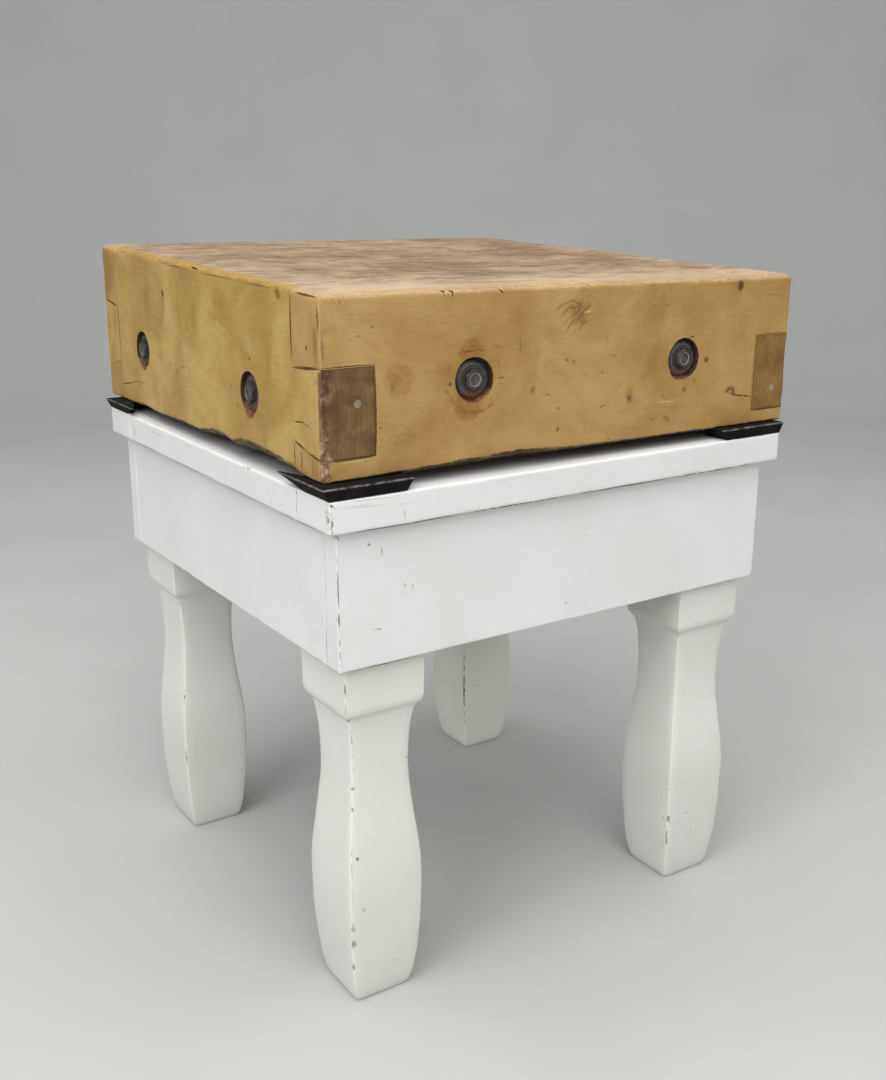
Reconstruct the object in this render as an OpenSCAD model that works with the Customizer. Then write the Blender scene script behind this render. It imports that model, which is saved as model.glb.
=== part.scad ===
// Square end-grain chopping block on a four-legged stand.
// Millimetres. +Z is up, +X runs to the right along the front, +Y runs
// from the front to the back. The origin lies on the floor, at the
// centre of the whole object's outline. The front faces -Y.

/* [Block] */
// Side of the square block
block_side = 610; // [400:5:900]
// Height of the block, at the centre of its top
block_height = 182.2; // [100:0.1:300]
// Fall of the worn top from the back edge to the front edge
top_fall_front = 18.2; // [0:0.1:40]
// Fall of the worn top from the left edge to the right edge
top_fall_right = 6; // [0:0.1:40]
// Depth of the hollow worn in the middle of the top
dish_depth = 2.5; // [0:0.1:10]
// Width of the worn bevel along the top edges
top_bevel = 5; // [0:0.5:15]
// How far the block sits to the right of the stand's centre
block_shift_x = 13.5; // [-40:0.5:40]
// How far the block sits behind the stand's centre
block_shift_y = 21; // [-40:0.5:40]
// Turn of the block on the stand, in degrees
block_turn = -0.74; // [-3:0.01:3]

/* [Side boards] */
// Thickness of the front side board
front_thick = 58; // [30:0.5:80]
// Thickness of the back side board
back_thick = 50; // [30:0.5:80]
// Thickness of the left side board
left_thick = 58; // [30:0.5:80]
// Thickness of the right side board
right_thick = 53; // [30:0.5:80]
// Underside of a dovetail at its wide end, above the block's underside
tail_low = 20.5; // [10:0.5:80]
// Top of a dovetail at its wide end, above the block's underside
tail_high = 107.5; // [80:0.5:160]
// Slope of a dovetail's underside over the board's thickness
tail_flare_low = 12.5; // [0:0.5:20]
// Slope of a dovetail's top over the board's thickness
tail_flare_high = 5.5; // [0:0.5:20]
// How much lower the right side board's dovetails sit
right_tail_drop = 5; // [0:0.5:10]
// How much higher the dovetails at the back sit
back_tail_rise = 17; // [0:0.5:30]

/* [Core] */
// Number of rows of upright staves
core_rows = 8; // [8:1:8]
// Number of whole staves in a row
row_staves = 8; // [4:1:12]
// Width of the glue line between two staves
glue_line = 0.2; // [0.1:0.05:1]

/* [Tie rods] */
// Diameter of a tie rod
rod_dia = 10; // [8:0.5:16]
// Radial clearance of a rod in the wood
rod_clear = 0.25; // [0.1:0.05:1]
// Height of the front-to-back rods above the block's underside
long_rod_z = 84; // [60:0.5:120]
// Left front-to-back rod, from the block's centre
long_rod_x1 = -135; // [-200:0.5:0]
// Right front-to-back rod, from the block's centre
long_rod_x2 = 142.5; // [0:0.5:200]
// Front cross rod, from the block's centre
cross_rod_y1 = -145; // [-200:0.5:0]
// Back cross rod, from the block's centre
cross_rod_y2 = 170; // [0:0.5:200]
// Height of the front cross rod above the block's underside
cross_rod_z1 = 63.5; // [40:0.5:120]
// Height of the back cross rod above the block's underside
cross_rod_z2 = 72.5; // [40:0.5:120]
// Diameter of the recess at a rod's end
recess_dia = 44; // [30:0.5:60]
// Depth of the recess at a rod's end
recess_depth = 6.5; // [4:0.5:40]
// Diameter of a washer
washer_dia = 39; // [20:0.5:50]
// Thickness of a washer
washer_thick = 3.5; // [1:0.5:6]
// Width of a nut across its flats
nut_flats = 19; // [13:0.5:30]
// Thickness of a nut
nut_thick = 4.5; // [3:0.5:15]
// Depth of a rod's end below the face of the side board
rod_end_depth = 0; // [0:0.5:12]

/* [Dovetail nails] */
// Diameter of a nail's shank
nail_dia = 4; // [2:0.5:6]
// Diameter of a nail's head
nail_head = 8; // [5:0.5:12]
// Length of a nail
nail_length = 46; // [20:1:55]

/* [Top frame] */
// Side of the stand's square top frame
frame_side = 600; // [400:5:900]
// Width of a top rail
rail_width = 68; // [40:1:100]
// Thickness of a top rail
rail_thick = 33; // [20:0.5:50]
// Radius of a rail's outer edges
rail_round = 3.5; // [1:0.5:10]

/* [Aprons] */
// Distance from a rail's edge back to an apron's face
apron_set_back = 14; // [0:0.5:40]
// Height of an apron
apron_height = 145; // [80:1:200]
// Thickness of an apron
apron_thick = 26; // [15:0.5:40]

/* [Legs] */
// Length of a leg below the aprons
leg_below = 400; // [200:1:700]
// Side of a leg's square cap
leg_side = 95; // [60:0.5:120]
// Distance from an apron's face back to a leg's face
leg_set_back = 11.5; // [0:0.5:30]
// Height of the cap that shows below the aprons
cap_height = 56; // [20:1:100]
// Half width of a leg at the start of the cove, under the cap's rounded shoulder
shoulder_half = 44.5; // [30:0.5:60]
// Height over which the shoulder is rounded
shoulder_soft = 16; // [4:1:30]
// Half width of a leg at its neck
neck_half = 36; // [25:0.5:50]
// Distance from the aprons down to the neck
neck_drop = 127; // [80:1:200]
// Half width of a leg at its belly
belly_half = 45.7; // [30:0.1:60]
// Distance from the aprons down to the belly
belly_drop = 257; // [150:1:350]
// Half width of a leg at the floor
foot_half = 31; // [20:0.5:50]

/* [Corner irons] */
// Length of an iron's arm along the front or back, at the top
iron_arm = 94; // [60:1:150]
// Length of an iron's arm along the side, at the top
iron_side_arm = 96; // [60:1:150]
// Width of an iron's front or back arm
iron_width = 34; // [25:1:60]
// Width of an iron's side arm where it meets the other
iron_side_width = 20; // [16:1:60]
// Width of the side arm's pointed end
iron_tip = 4; // [1:0.5:20]
// How far an iron's side face leans out at the top
iron_flare = 6.5; // [0:0.5:15]
// Thickness of an iron
iron_thick = 12; // [5:0.5:20]
// Undercut of the front or back arm's end, top to bottom
iron_undercut = 8; // [0:0.5:15]
// Undercut of the side arm's end, top to bottom
iron_side_undercut = 44; // [0:0.5:50]
// Air gap between the irons and the block
rest_gap = 0.3; // [0.1:0.1:1]

/* [Screws] */
// Diameter of a screw's shank
screw_dia = 5; // [3:0.5:8]
// Diameter of a screw's head
screw_head = 10; // [6:0.5:14]
// Height of a screw's tapered head
screw_taper = 3; // [2:0.5:5]
// Depth of an apron screw's head below the face
screw_sink = 1.5; // [0:0.5:4]
// Length of an apron screw
apron_screw_length = 60; // [30:1:90]
// Length of a rail screw
rail_screw_length = 70; // [40:1:100]
// Length of a corner iron screw
iron_screw_length = 36; // [20:1:44]

/* [Hidden] */
$fn = 96;

floor_to_apron = leg_below;
floor_to_rail = leg_below + apron_height;
floor_to_frame = floor_to_rail + rail_thick;
floor_to_iron = floor_to_frame + iron_thick;
floor_to_block = floor_to_iron + rest_gap;

half_block = block_side / 2;
half_frame = frame_side / 2;
apron_face = half_frame - apron_set_back;
apron_inner = apron_face - apron_thick;
leg_face = apron_face - leg_set_back;
leg_centre = leg_face - leg_side / 2;
leg_inner = leg_face - leg_side;

// reach of the turned block to each side of its own centre
block_reach = half_block * (cos(block_turn) + sin(abs(block_turn)));
outline_low_x = min(-half_frame - iron_flare, block_shift_x - block_reach);
outline_high_x = max(half_frame + iron_flare, block_shift_x + block_reach);
outline_low_y = min(-half_frame, block_shift_y - block_reach);
outline_high_y = max(half_frame, block_shift_y + block_reach);
stand_x = -(outline_low_x + outline_high_x) / 2;
stand_y = -(outline_low_y + outline_high_y) / 2;

core_left = -half_block + left_thick;
core_right = half_block - right_thick;
core_front = -half_block + front_thick;
core_back = half_block - back_thick;
stave_x = (core_right - core_left) / row_staves;
stave_y = (core_back - core_front) / core_rows;

tilt_x = atan(top_fall_front / block_side);
tilt_y = atan(top_fall_right / block_side);
dish_half = 236;
dish_radius = dish_depth > 0
    ? (dish_half * dish_half + dish_depth * dish_depth) / (2 * dish_depth)
    : 0;

// ---------- placing ----------

module on_stand() {
    translate([stand_x, stand_y, 0]) children();
}

module on_irons() {
    translate([stand_x + block_shift_x, stand_y + block_shift_y, floor_to_block])
        rotate([0, 0, block_turn])
            children();
}

// ---------- block ----------

// shallow round hollow of a large radius
module dish() {
    rotate_extrude()
        intersection() {
            translate([0, dish_radius - dish_depth])
                circle(r = dish_radius, $fn = 4000);
            translate([0, -dish_depth - 1])
                square([dish_half + 2, dish_depth + 11]);
        }
}

// everything above the worn, sloping top
module above_top() {
    translate([0, 0, block_height])
        rotate([tilt_x, tilt_y, 0]) {
            translate([-half_block * 1.5, -half_block * 1.5, 0])
                cube([block_side * 1.5, block_side * 1.5, 100]);
            if (dish_depth > 0)
                dish();
        }
}

// worn bevels along the four top edges
module top_bevels() {
    leg = top_bevel * sqrt(2);
    translate([0, 0, block_height])
        rotate([tilt_x, tilt_y, 0])
            for (a = [0:90:270])
                rotate([0, 0, a])
                    translate([0, -half_block, 0])
                        rotate([45, 0, 0])
                            translate([-block_side, -leg / 2, -leg / 2])
                                cube([block_side * 2, leg, leg]);
}

module rod_along_y(x, z, d, len) {
    translate([x, 0, z])
        rotate([90, 0, 0])
            cylinder(d = d, h = len, center = true);
}

module rod_along_x(y, z, d, len) {
    translate([0, y, z])
        rotate([0, 90, 0])
            cylinder(d = d, h = len, center = true);
}

module long_bores() {
    for (x = [long_rod_x1, long_rod_x2])
        rod_along_y(x, long_rod_z, rod_dia + 2 * rod_clear, block_side + 2);
}

module cross_bores() {
    rod_along_x(cross_rod_y1, cross_rod_z1, rod_dia + 2 * rod_clear, block_side + 2);
    rod_along_x(cross_rod_y2, cross_rod_z2, rod_dia + 2 * rod_clear, block_side + 2);
}

// children drawn at the two ends of each front-to-back rod, facing out along +Z
module at_long_ends() {
    for (x = [long_rod_x1, long_rod_x2]) {
        translate([x, -half_block, long_rod_z]) rotate([90, 0, 0]) children();
        translate([x, half_block, long_rod_z]) rotate([-90, 0, 0]) children();
    }
}

// children drawn at the two ends of each cross rod, facing out along +Z
module at_cross_ends() {
    for (p = [[cross_rod_y1, cross_rod_z1], [cross_rod_y2, cross_rod_z2]]) {
        translate([-half_block, p[0], p[1]]) rotate([0, -90, 0]) children();
        translate([half_block, p[0], p[1]]) rotate([0, 90, 0]) children();
    }
}

module recess() {
    translate([0, 0, -recess_depth])
        cylinder(d = recess_dia, h = recess_depth + 10);
}

// outline of a dovetail seen from the left: s is the board's thickness
module tail_outline(s) {
    polygon([
        [-half_block - 1, tail_low - tail_flare_low / s],
        [-half_block + s, tail_low + tail_flare_low],
        [-half_block + s, tail_high - tail_flare_high],
        [-half_block - 1, tail_high + tail_flare_high / s]
    ]);
}

// a dovetail at the front end of a side board: x is its low side, t its
// width, s the thickness of the board it is let into and z its lift
module tail_prism(x, t, s, z) {
    translate([x, 0, z])
        rotate([90, 0, 90])
            linear_extrude(height = t)
                tail_outline(s);
}

module left_tails(extra = 0) {
    tail_prism(-half_block - extra, left_thick + extra, front_thick, 0);
    mirror([0, 1, 0])
        tail_prism(-half_block - extra, left_thick + extra, back_thick, back_tail_rise);
}

module right_tails(extra = 0) {
    tail_prism(core_right, right_thick + extra, front_thick, -right_tail_drop);
    mirror([0, 1, 0])
        tail_prism(core_right, right_thick + extra, back_thick,
            back_tail_rise - right_tail_drop);
}

module nail_places() {
    // front face
    translate([-266, -half_block, 72.5]) rotate([90, 0, 0]) children();
    translate([284, -half_block, 40]) rotate([90, 0, 0]) children();
    // back face
    translate([-280, half_block, 66]) rotate([-90, 0, 0]) children();
    translate([272, half_block, 60]) rotate([-90, 0, 0]) children();
}

module nail() {
    translate([0, 0, -2]) cylinder(d = nail_head, h = 1.6);
    translate([0, 0, -nail_length]) cylinder(d = nail_dia, h = nail_length - 2);
}

module nail_hole() {
    translate([0, 0, -2]) cylinder(d = nail_head, h = 3);
    translate([0, 0, -nail_length]) cylinder(d = nail_dia, h = nail_length);
}

module front_side_board() {
    color([0.62, 0.47, 0.28])
        on_irons()
            difference() {
                translate([-half_block, -half_block, 0])
                    cube([block_side, front_thick, block_height + 40]);
                left_tails(1);
                right_tails(1);
                above_top();
                top_bevels();
                long_bores();
                at_long_ends() recess();
            }
}

module back_side_board() {
    color([0.60, 0.45, 0.27])
        on_irons()
            difference() {
                translate([-half_block, core_back, 0])
                    cube([block_side, back_thick, block_height + 40]);
                left_tails(1);
                right_tails(1);
                above_top();
                top_bevels();
                long_bores();
                at_long_ends() recess();
            }
}

module side_board_blank(x, t) {
    translate([x, core_front, 0])
        cube([t, core_back - core_front, block_height + 40]);
}

// keeps a dovetail's end flush with the block's faces
module between_faces() {
    translate([-half_block, -half_block, 0])
        cube([block_side, block_side, block_height + 40]);
}

module left_side_board() {
    color([0.63, 0.48, 0.29])
        on_irons()
            difference() {
                intersection() {
                    union() {
                        side_board_blank(-half_block, left_thick);
                        left_tails();
                    }
                    between_faces();
                }
                above_top();
                top_bevels();
                cross_bores();
                at_cross_ends() recess();
                nail_places() nail_hole();
            }
}

module right_side_board() {
    color([0.61, 0.46, 0.28])
        on_irons()
            difference() {
                intersection() {
                    union() {
                        side_board_blank(core_right, right_thick);
                        right_tails();
                    }
                    between_faces();
                }
                above_top();
                top_bevels();
                cross_bores();
                at_cross_ends() recess();
                nail_places() nail_hole();
            }
}

// one row of upright staves; every second row starts with a half stave
module stave_row(i) {
    staggered = i % 2 == 0;
    count = staggered ? row_staves + 1 : row_staves;
    y0 = core_front + (i - 1) * stave_y;
    crossed = (cross_rod_y1 > y0 - rod_dia && cross_rod_y1 < y0 + stave_y + rod_dia)
        || (cross_rod_y2 > y0 - rod_dia && cross_rod_y2 < y0 + stave_y + rod_dia);
    color([0.55, 0.43, 0.30] * (i % 3 == 0 ? 0.94 : (i % 3 == 1 ? 1 : 1.05)))
        on_irons()
            for (k = [0:count - 1]) {
                x0 = staggered
                    ? core_left + max(0, k - 0.5) * stave_x
                    : core_left + k * stave_x;
                x1 = staggered
                    ? core_left + min(row_staves, k + 0.5) * stave_x
                    : core_left + (k + 1) * stave_x;
                difference() {
                    translate([x0 + glue_line / 2, y0, 0])
                        cube([x1 - x0 - glue_line, stave_y, block_height + 20]);
                    above_top();
                    for (x = [long_rod_x1, long_rod_x2])
                        if (x > x0 - rod_dia && x < x1 + rod_dia)
                            rod_along_y(x, long_rod_z, rod_dia + 2 * rod_clear, block_side + 2);
                    if (crossed)
                        cross_bores();
                }
            }
}

module core_row_1() {
    stave_row(1);
}

module core_row_2() {
    stave_row(2);
}

module core_row_3() {
    stave_row(3);
}

module core_row_4() {
    stave_row(4);
}

module core_row_5() {
    stave_row(5);
}

module core_row_6() {
    stave_row(6);
}

module core_row_7() {
    stave_row(7);
}

module core_row_8() {
    stave_row(8);
}

module long_tie_rods() {
    color([0.22, 0.22, 0.22])
        on_irons()
            for (x = [long_rod_x1, long_rod_x2])
                rod_along_y(x, long_rod_z, rod_dia, block_side - 2 * rod_end_depth);
}

module cross_tie_rods() {
    color([0.22, 0.22, 0.22])
        on_irons() {
            rod_along_x(cross_rod_y1, cross_rod_z1, rod_dia, block_side - 2 * rod_end_depth);
            rod_along_x(cross_rod_y2, cross_rod_z2, rod_dia, block_side - 2 * rod_end_depth);
        }
}

module washer() {
    translate([0, 0, -recess_depth])
        difference() {
            cylinder(d = washer_dia, h = washer_thick);
            translate([0, 0, -1])
                cylinder(d = rod_dia + 2 * rod_clear, h = washer_thick + 2);
        }
}

module nut() {
    translate([0, 0, -recess_depth + washer_thick])
        difference() {
            linear_extrude(height = nut_thick)
                circle(d = nut_flats / cos(30), $fn = 6);
            translate([0, 0, -1])
                cylinder(d = rod_dia, h = nut_thick + 2);
        }
}

module tie_rod_washers() {
    color([0.20, 0.20, 0.20])
        on_irons() {
            at_long_ends() washer();
            at_cross_ends() washer();
        }
}

module tie_rod_nuts() {
    color([0.25, 0.25, 0.25])
        on_irons() {
            at_long_ends() nut();
            at_cross_ends() nut();
        }
}

module dovetail_nails() {
    color([0.55, 0.53, 0.50])
        on_irons()
            nail_places() nail();
}

// ---------- top frame ----------

module rounded_section(w, h, r) {
    square([w - 2 * r, h], center = true);
    square([w, h - 2 * r], center = true);
    for (sx = [-1, 1])
        for (sy = [-1, 1])
            translate([sx * (w / 2 - r), sy * (h / 2 - r)])
                circle(r = r);
}

// a whole square board with rounded outer edges; the rails are cut from it
module frame_blank() {
    translate([0, 0, floor_to_rail + rail_thick / 2])
        intersection() {
            rotate([90, 0, 0])
                linear_extrude(height = frame_side + 2, center = true)
                    rounded_section(frame_side, rail_thick, rail_round);
            rotate([90, 0, 90])
                linear_extrude(height = frame_side + 2, center = true)
                    rounded_section(frame_side, rail_thick, rail_round);
        }
}

module full_rail() {
    difference() {
        intersection() {
            frame_blank();
            translate([-half_frame - 1, -half_frame - 1, floor_to_rail - 1])
                cube([frame_side + 2, rail_width + 1, rail_thick + 2]);
        }
        rail_screw_places() screw_hole(rail_screw_length);
    }
}

module short_rail() {
    difference() {
        intersection() {
            frame_blank();
            translate([-half_frame - 1, -half_frame + rail_width, floor_to_rail - 1])
                cube([rail_width + 1, frame_side - 2 * rail_width, rail_thick + 2]);
        }
        rail_screw_places() screw_hole(rail_screw_length);
    }
}

// bores for the screws of all four corner irons
module iron_screw_bores() {
    at_corner_irons()
        iron_screw_places()
            screw_hole(iron_screw_length);
}

module front_top_rail() {
    color([0.84, 0.84, 0.82])
        on_stand()
            difference() {
                full_rail();
                iron_screw_bores();
            }
}

module back_top_rail() {
    color([0.84, 0.84, 0.82])
        on_stand()
            difference() {
                mirror([0, 1, 0]) full_rail();
                iron_screw_bores();
            }
}

module left_top_rail() {
    color([0.84, 0.84, 0.82])
        on_stand()
            difference() {
                short_rail();
                iron_screw_bores();
            }
}

module right_top_rail() {
    color([0.84, 0.84, 0.82])
        on_stand()
            difference() {
                mirror([1, 0, 0]) short_rail();
                iron_screw_bores();
            }
}

// ---------- aprons ----------

module long_apron() {
    difference() {
        translate([-apron_face, -apron_face, floor_to_apron])
            cube([2 * apron_face, apron_thick, apron_height]);
        apron_screw_places() sunk_screw_hole();
        rail_screw_places() screw_hole(rail_screw_length);
    }
}

module short_apron() {
    difference() {
        translate([-apron_face, -apron_inner, floor_to_apron])
            cube([apron_thick, 2 * apron_inner, apron_height]);
        apron_screw_places() sunk_screw_hole();
        rail_screw_places() screw_hole(rail_screw_length);
    }
}

module front_apron() {
    color([0.84, 0.84, 0.82]) on_stand() long_apron();
}

module back_apron() {
    color([0.84, 0.84, 0.82]) on_stand() mirror([0, 1, 0]) long_apron();
}

module left_apron() {
    color([0.84, 0.84, 0.82]) on_stand() short_apron();
}

module right_apron() {
    color([0.84, 0.84, 0.82]) on_stand() mirror([1, 0, 0]) short_apron();
}

// ---------- legs ----------

// half width of a leg at distance t below the aprons, below its cap
function cove(t) = neck_half + (shoulder_half - neck_half)
    * (1 - sqrt(max(0, 1 - pow((neck_drop - t) / (neck_drop - cap_height), 2))));
function swell(s) = neck_half + (belly_half - neck_half) * s * s * (3 - 2 * s);
function turn_in(t) = foot_half + (belly_half - foot_half)
    * sqrt(max(0, 1 - pow((t - belly_drop) / (leg_below - belly_drop), 2)));

// rounded shoulder between the cap's face and the cove
function shoulder(t) = let (s = (t - cap_height) / shoulder_soft + 0.5)
    leg_side / 2 - (leg_side / 2 - cove(max(t, cap_height))) * s * s * (3 - 2 * s);
shoulder_end = cap_height + shoulder_soft / 2;

// steps bunched where each curve bends most
leg_side_curve = concat(
    [[leg_side / 2, 0]],
    [for (i = [0:8]) let (t = cap_height + (i / 8 - 0.5) * shoulder_soft)
        [shoulder(t), t]],
    [for (i = [1:9]) let (t = shoulder_end + (neck_drop - shoulder_end) * i / 10)
        [cove(t), t]],
    [for (i = [0:11]) [swell(i / 12), neck_drop + (belly_drop - neck_drop) * i / 12]],
    [for (i = [0:12]) let (t = belly_drop + (leg_below - belly_drop) * sin(90 * i / 12))
        [turn_in(t), t]]
);

module leg_outline() {
    polygon(concat(
        [for (p = leg_side_curve) [p[0], leg_below - p[1]]],
        [for (i = [len(leg_side_curve) - 1:-1:0])
            [-leg_side_curve[i][0], leg_below - leg_side_curve[i][1]]]
    ));
}

// front left leg, its upper part cut back to stand inside the aprons
module leg() {
    difference() {
        union() {
            translate([-leg_centre, -leg_centre, 0])
                intersection() {
                    rotate([90, 0, 0])
                        linear_extrude(height = leg_side + 10, center = true)
                            leg_outline();
                    rotate([90, 0, 90])
                        linear_extrude(height = leg_side + 10, center = true)
                            leg_outline();
                }
            translate([-apron_inner, -apron_inner, floor_to_apron - 1])
                cube([apron_inner - leg_inner, apron_inner - leg_inner, apron_height + 1]);
        }
        apron_screw_places() sunk_screw_hole();
    }
}

module front_left_leg() {
    color([0.82, 0.82, 0.79]) on_stand() leg();
}

module front_right_leg() {
    color([0.82, 0.82, 0.79]) on_stand() mirror([1, 0, 0]) leg();
}

module back_left_leg() {
    color([0.82, 0.82, 0.79]) on_stand() mirror([0, 1, 0]) leg();
}

module back_right_leg() {
    color([0.82, 0.82, 0.79]) on_stand() rotate([0, 0, 180]) leg();
}

// ---------- corner irons ----------

// undercut bevel across the end of an arm that runs along +X
module iron_arm_end(arm, undercut) {
    translate([-half_frame + arm, -half_frame - iron_flare - 2, floor_to_iron])
        rotate([0, atan(undercut / iron_thick), 0])
            translate([0, 0, -iron_thick * 6])
                cube([60, iron_width + iron_flare + 4, iron_thick * 7]);
}

// slope of the side face, leaning out to the top
module iron_side_slope() {
    translate([-half_frame, -half_frame - 2, floor_to_frame])
        rotate([0, -atan(iron_flare / iron_thick), 0])
            translate([-40, 0, -1])
                cube([40, iron_side_arm + 10, iron_thick * 3]);
}

module corner_iron() {
    difference() {
        translate([0, 0, floor_to_frame])
            linear_extrude(height = iron_thick)
                polygon([
                    [-half_frame - iron_flare, -half_frame],
                    [-half_frame + iron_arm, -half_frame],
                    [-half_frame + iron_arm, -half_frame + iron_width],
                    [-half_frame + iron_side_width, -half_frame + iron_width],
                    [-half_frame - iron_flare + iron_tip, -half_frame + iron_side_arm],
                    [-half_frame - iron_flare, -half_frame + iron_side_arm]
                ]);
        iron_arm_end(iron_arm, iron_undercut);
        mirror([1, -1, 0]) iron_arm_end(iron_side_arm, iron_side_undercut);
        iron_side_slope();
        iron_screw_places() screw_hole(iron_screw_length, iron_thick);
    }
}

// children drawn for the front left iron, moved to corner c:
// 0 front left, 1 front right, 2 back left, 3 back right
module at_corner_iron(c) {
    mirror([c % 2 == 1 ? 1 : 0, 0, 0])
        mirror([0, c > 1 ? 1 : 0, 0])
            children();
}

module at_corner_irons() {
    for (c = [0:3])
        at_corner_iron(c) children();
}

module front_left_corner_iron() {
    color([0.10, 0.10, 0.10]) on_stand() at_corner_iron(0) corner_iron();
}

module front_right_corner_iron() {
    color([0.10, 0.10, 0.10]) on_stand() at_corner_iron(1) corner_iron();
}

module back_left_corner_iron() {
    color([0.10, 0.10, 0.10]) on_stand() at_corner_iron(2) corner_iron();
}

module back_right_corner_iron() {
    color([0.10, 0.10, 0.10]) on_stand() at_corner_iron(3) corner_iron();
}

// ---------- screws ----------

// a screw drawn with its head's face at z = 0 and its point downwards
module screw(len) {
    translate([0, 0, -screw_taper])
        cylinder(d1 = screw_dia, d2 = screw_head, h = screw_taper);
    translate([0, 0, -len])
        cylinder(d = screw_dia, h = len - screw_taper);
}

module screw_hole(len, lift = 0) {
    screw(len);
    cylinder(d = screw_head, h = 0.5 + lift);
}

module sunk_screw_hole() {
    screw(apron_screw_length);
    cylinder(d = screw_head, h = screw_sink + 5);
}

// front left corner iron: three screws through its top
module iron_screw_places() {
    for (p = [[22, 25], [70, 25], [8, 46]])
        translate([-half_frame + p[0], -half_frame + p[1], floor_to_iron - 0.3])
            children();
}

// top rails into the aprons, for the front rail and the left rail
module rail_screw_places() {
    for (x = [-110, 0, 110])
        translate([x, -apron_face + apron_thick / 2, floor_to_frame - 0.3])
            children();
    for (y = [-110, 0, 110])
        translate([-apron_face + apron_thick / 2, y, floor_to_frame - 0.3])
            children();
}

// front apron and left apron into the legs: three screws at each end
module apron_screw_places() {
    for (s = [-1, 1]) {
        for (p = [[243, 115], [207, 72], [243, 33]])
            translate([s * p[0], -apron_face + screw_sink, floor_to_apron + p[1]])
                rotate([90, 0, 0]) children();
        for (p = [[236, 105], [204, 71], [235, 24]])
            translate([-apron_face + screw_sink, s * p[0], floor_to_apron + p[1]])
                rotate([0, -90, 0]) children();
    }
}

module corner_iron_screws() {
    color([0.14, 0.14, 0.14])
        on_stand()
            at_corner_irons()
                iron_screw_places()
                    screw(iron_screw_length);
}

module rail_screws() {
    color([0.78, 0.78, 0.76])
        on_stand() {
            rail_screw_places() screw(rail_screw_length);
            mirror([0, 1, 0]) mirror([1, 0, 0])
                rail_screw_places() screw(rail_screw_length);
        }
}

module apron_screws() {
    color([0.78, 0.78, 0.76])
        on_stand() {
            apron_screw_places() screw(apron_screw_length);
            mirror([0, 1, 0]) mirror([1, 0, 0])
                apron_screw_places() screw(apron_screw_length);
        }
}

front_side_board();
back_side_board();
left_side_board();
right_side_board();
core_row_1();
core_row_2();
core_row_3();
core_row_4();
core_row_5();
core_row_6();
core_row_7();
core_row_8();
long_tie_rods();
cross_tie_rods();
tie_rod_washers();
tie_rod_nuts();
dovetail_nails();
front_top_rail();
back_top_rail();
left_top_rail();
right_top_rail();
front_apron();
back_apron();
left_apron();
right_apron();
front_left_leg();
front_right_leg();
back_left_leg();
back_right_leg();
front_left_corner_iron();
front_right_corner_iron();
back_left_corner_iron();
back_right_corner_iron();
corner_iron_screws();
rail_screws();
apron_screws();
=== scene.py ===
import math

import bmesh
import bpy
import numpy as np
from mathutils import Matrix, Vector


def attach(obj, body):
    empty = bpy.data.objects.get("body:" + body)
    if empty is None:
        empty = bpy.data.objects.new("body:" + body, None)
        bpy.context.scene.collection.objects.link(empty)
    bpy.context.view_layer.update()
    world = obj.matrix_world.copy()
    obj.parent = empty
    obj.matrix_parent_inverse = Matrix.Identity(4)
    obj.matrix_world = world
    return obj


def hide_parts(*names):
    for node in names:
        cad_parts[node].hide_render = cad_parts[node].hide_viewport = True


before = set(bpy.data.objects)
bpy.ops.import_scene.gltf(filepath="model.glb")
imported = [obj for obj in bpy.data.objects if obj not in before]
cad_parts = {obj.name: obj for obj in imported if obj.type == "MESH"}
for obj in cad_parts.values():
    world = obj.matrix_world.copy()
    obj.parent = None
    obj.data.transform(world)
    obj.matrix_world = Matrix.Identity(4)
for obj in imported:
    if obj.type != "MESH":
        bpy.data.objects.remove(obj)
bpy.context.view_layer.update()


# ------------------------------------------------------------------
# sizes, in millimetres, as in the construction model
# ------------------------------------------------------------------
SX, SY = -7.95685, -14.95685            # centre of the stand
BX, BY, BZ = 5.54315, 6.04315, 590.3     # centre of the block's underside
TURN = math.radians(-0.74)
H = 305.0                                # half side of the block
TOP = 182.2
SLOPE_X, SLOPE_Y = -6.0 / 610.0, 18.2 / 610.0
L_IN, R_IN, F_IN, B_IN = -247.0, 252.0, -247.0, 255.0
APRON_Z, RAIL_Z, FRAME_Z = 400.0, 545.0, 578.0


def ztop(x, y):
    return TOP + SLOPE_X * x + SLOPE_Y * y


# ------------------------------------------------------------------
# seeded noise on arrays of points
# ------------------------------------------------------------------
def _hash(i, j, k, seed):
    h = (i * 374761393 + j * 668265263 + k * 2147483647 + seed * 1274126177) & 0xFFFFFFFF
    h = ((h ^ (h >> 13)) * 1274126177) & 0xFFFFFFFF
    h = ((h ^ (h >> 16)) * 2246822519) & 0xFFFFFFFF
    return ((h ^ (h >> 15)) & 0xFFFFFF) / float(0xFFFFFF) * 2.0 - 1.0


def noise3(P, scale, seed=0):
    """Smooth value noise in -1..1. P is N x 3, scale the size of a cell (one number or three)."""
    Q = np.asarray(P, float) / np.asarray(scale, float) + 1000.37
    i = np.floor(Q).astype(np.int64)
    f = Q - i
    f = f * f * (3 - 2 * f)
    out = 0.0
    for dx in (0, 1):
        wx = f[:, 0] if dx else 1 - f[:, 0]
        for dy in (0, 1):
            wy = f[:, 1] if dy else 1 - f[:, 1]
            for dz in (0, 1):
                wz = f[:, 2] if dz else 1 - f[:, 2]
                out = out + wx * wy * wz * _hash(i[:, 0] + dx, i[:, 1] + dy, i[:, 2] + dz, seed)
    return out


def fbm(P, scale, seed=0, octaves=3):
    s = np.asarray(scale, float)
    out, amp, tot = 0.0, 1.0, 0.0
    for o in range(octaves):
        out = out + amp * noise3(P, s / 2 ** o, seed + 17 * o)
        tot += amp
        amp *= 0.5
    return out / tot


def smooth(a, b, v):
    t = np.clip((np.asarray(v, float) - a) / (b - a), 0, 1)
    return t * t * (3 - 2 * t)


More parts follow.
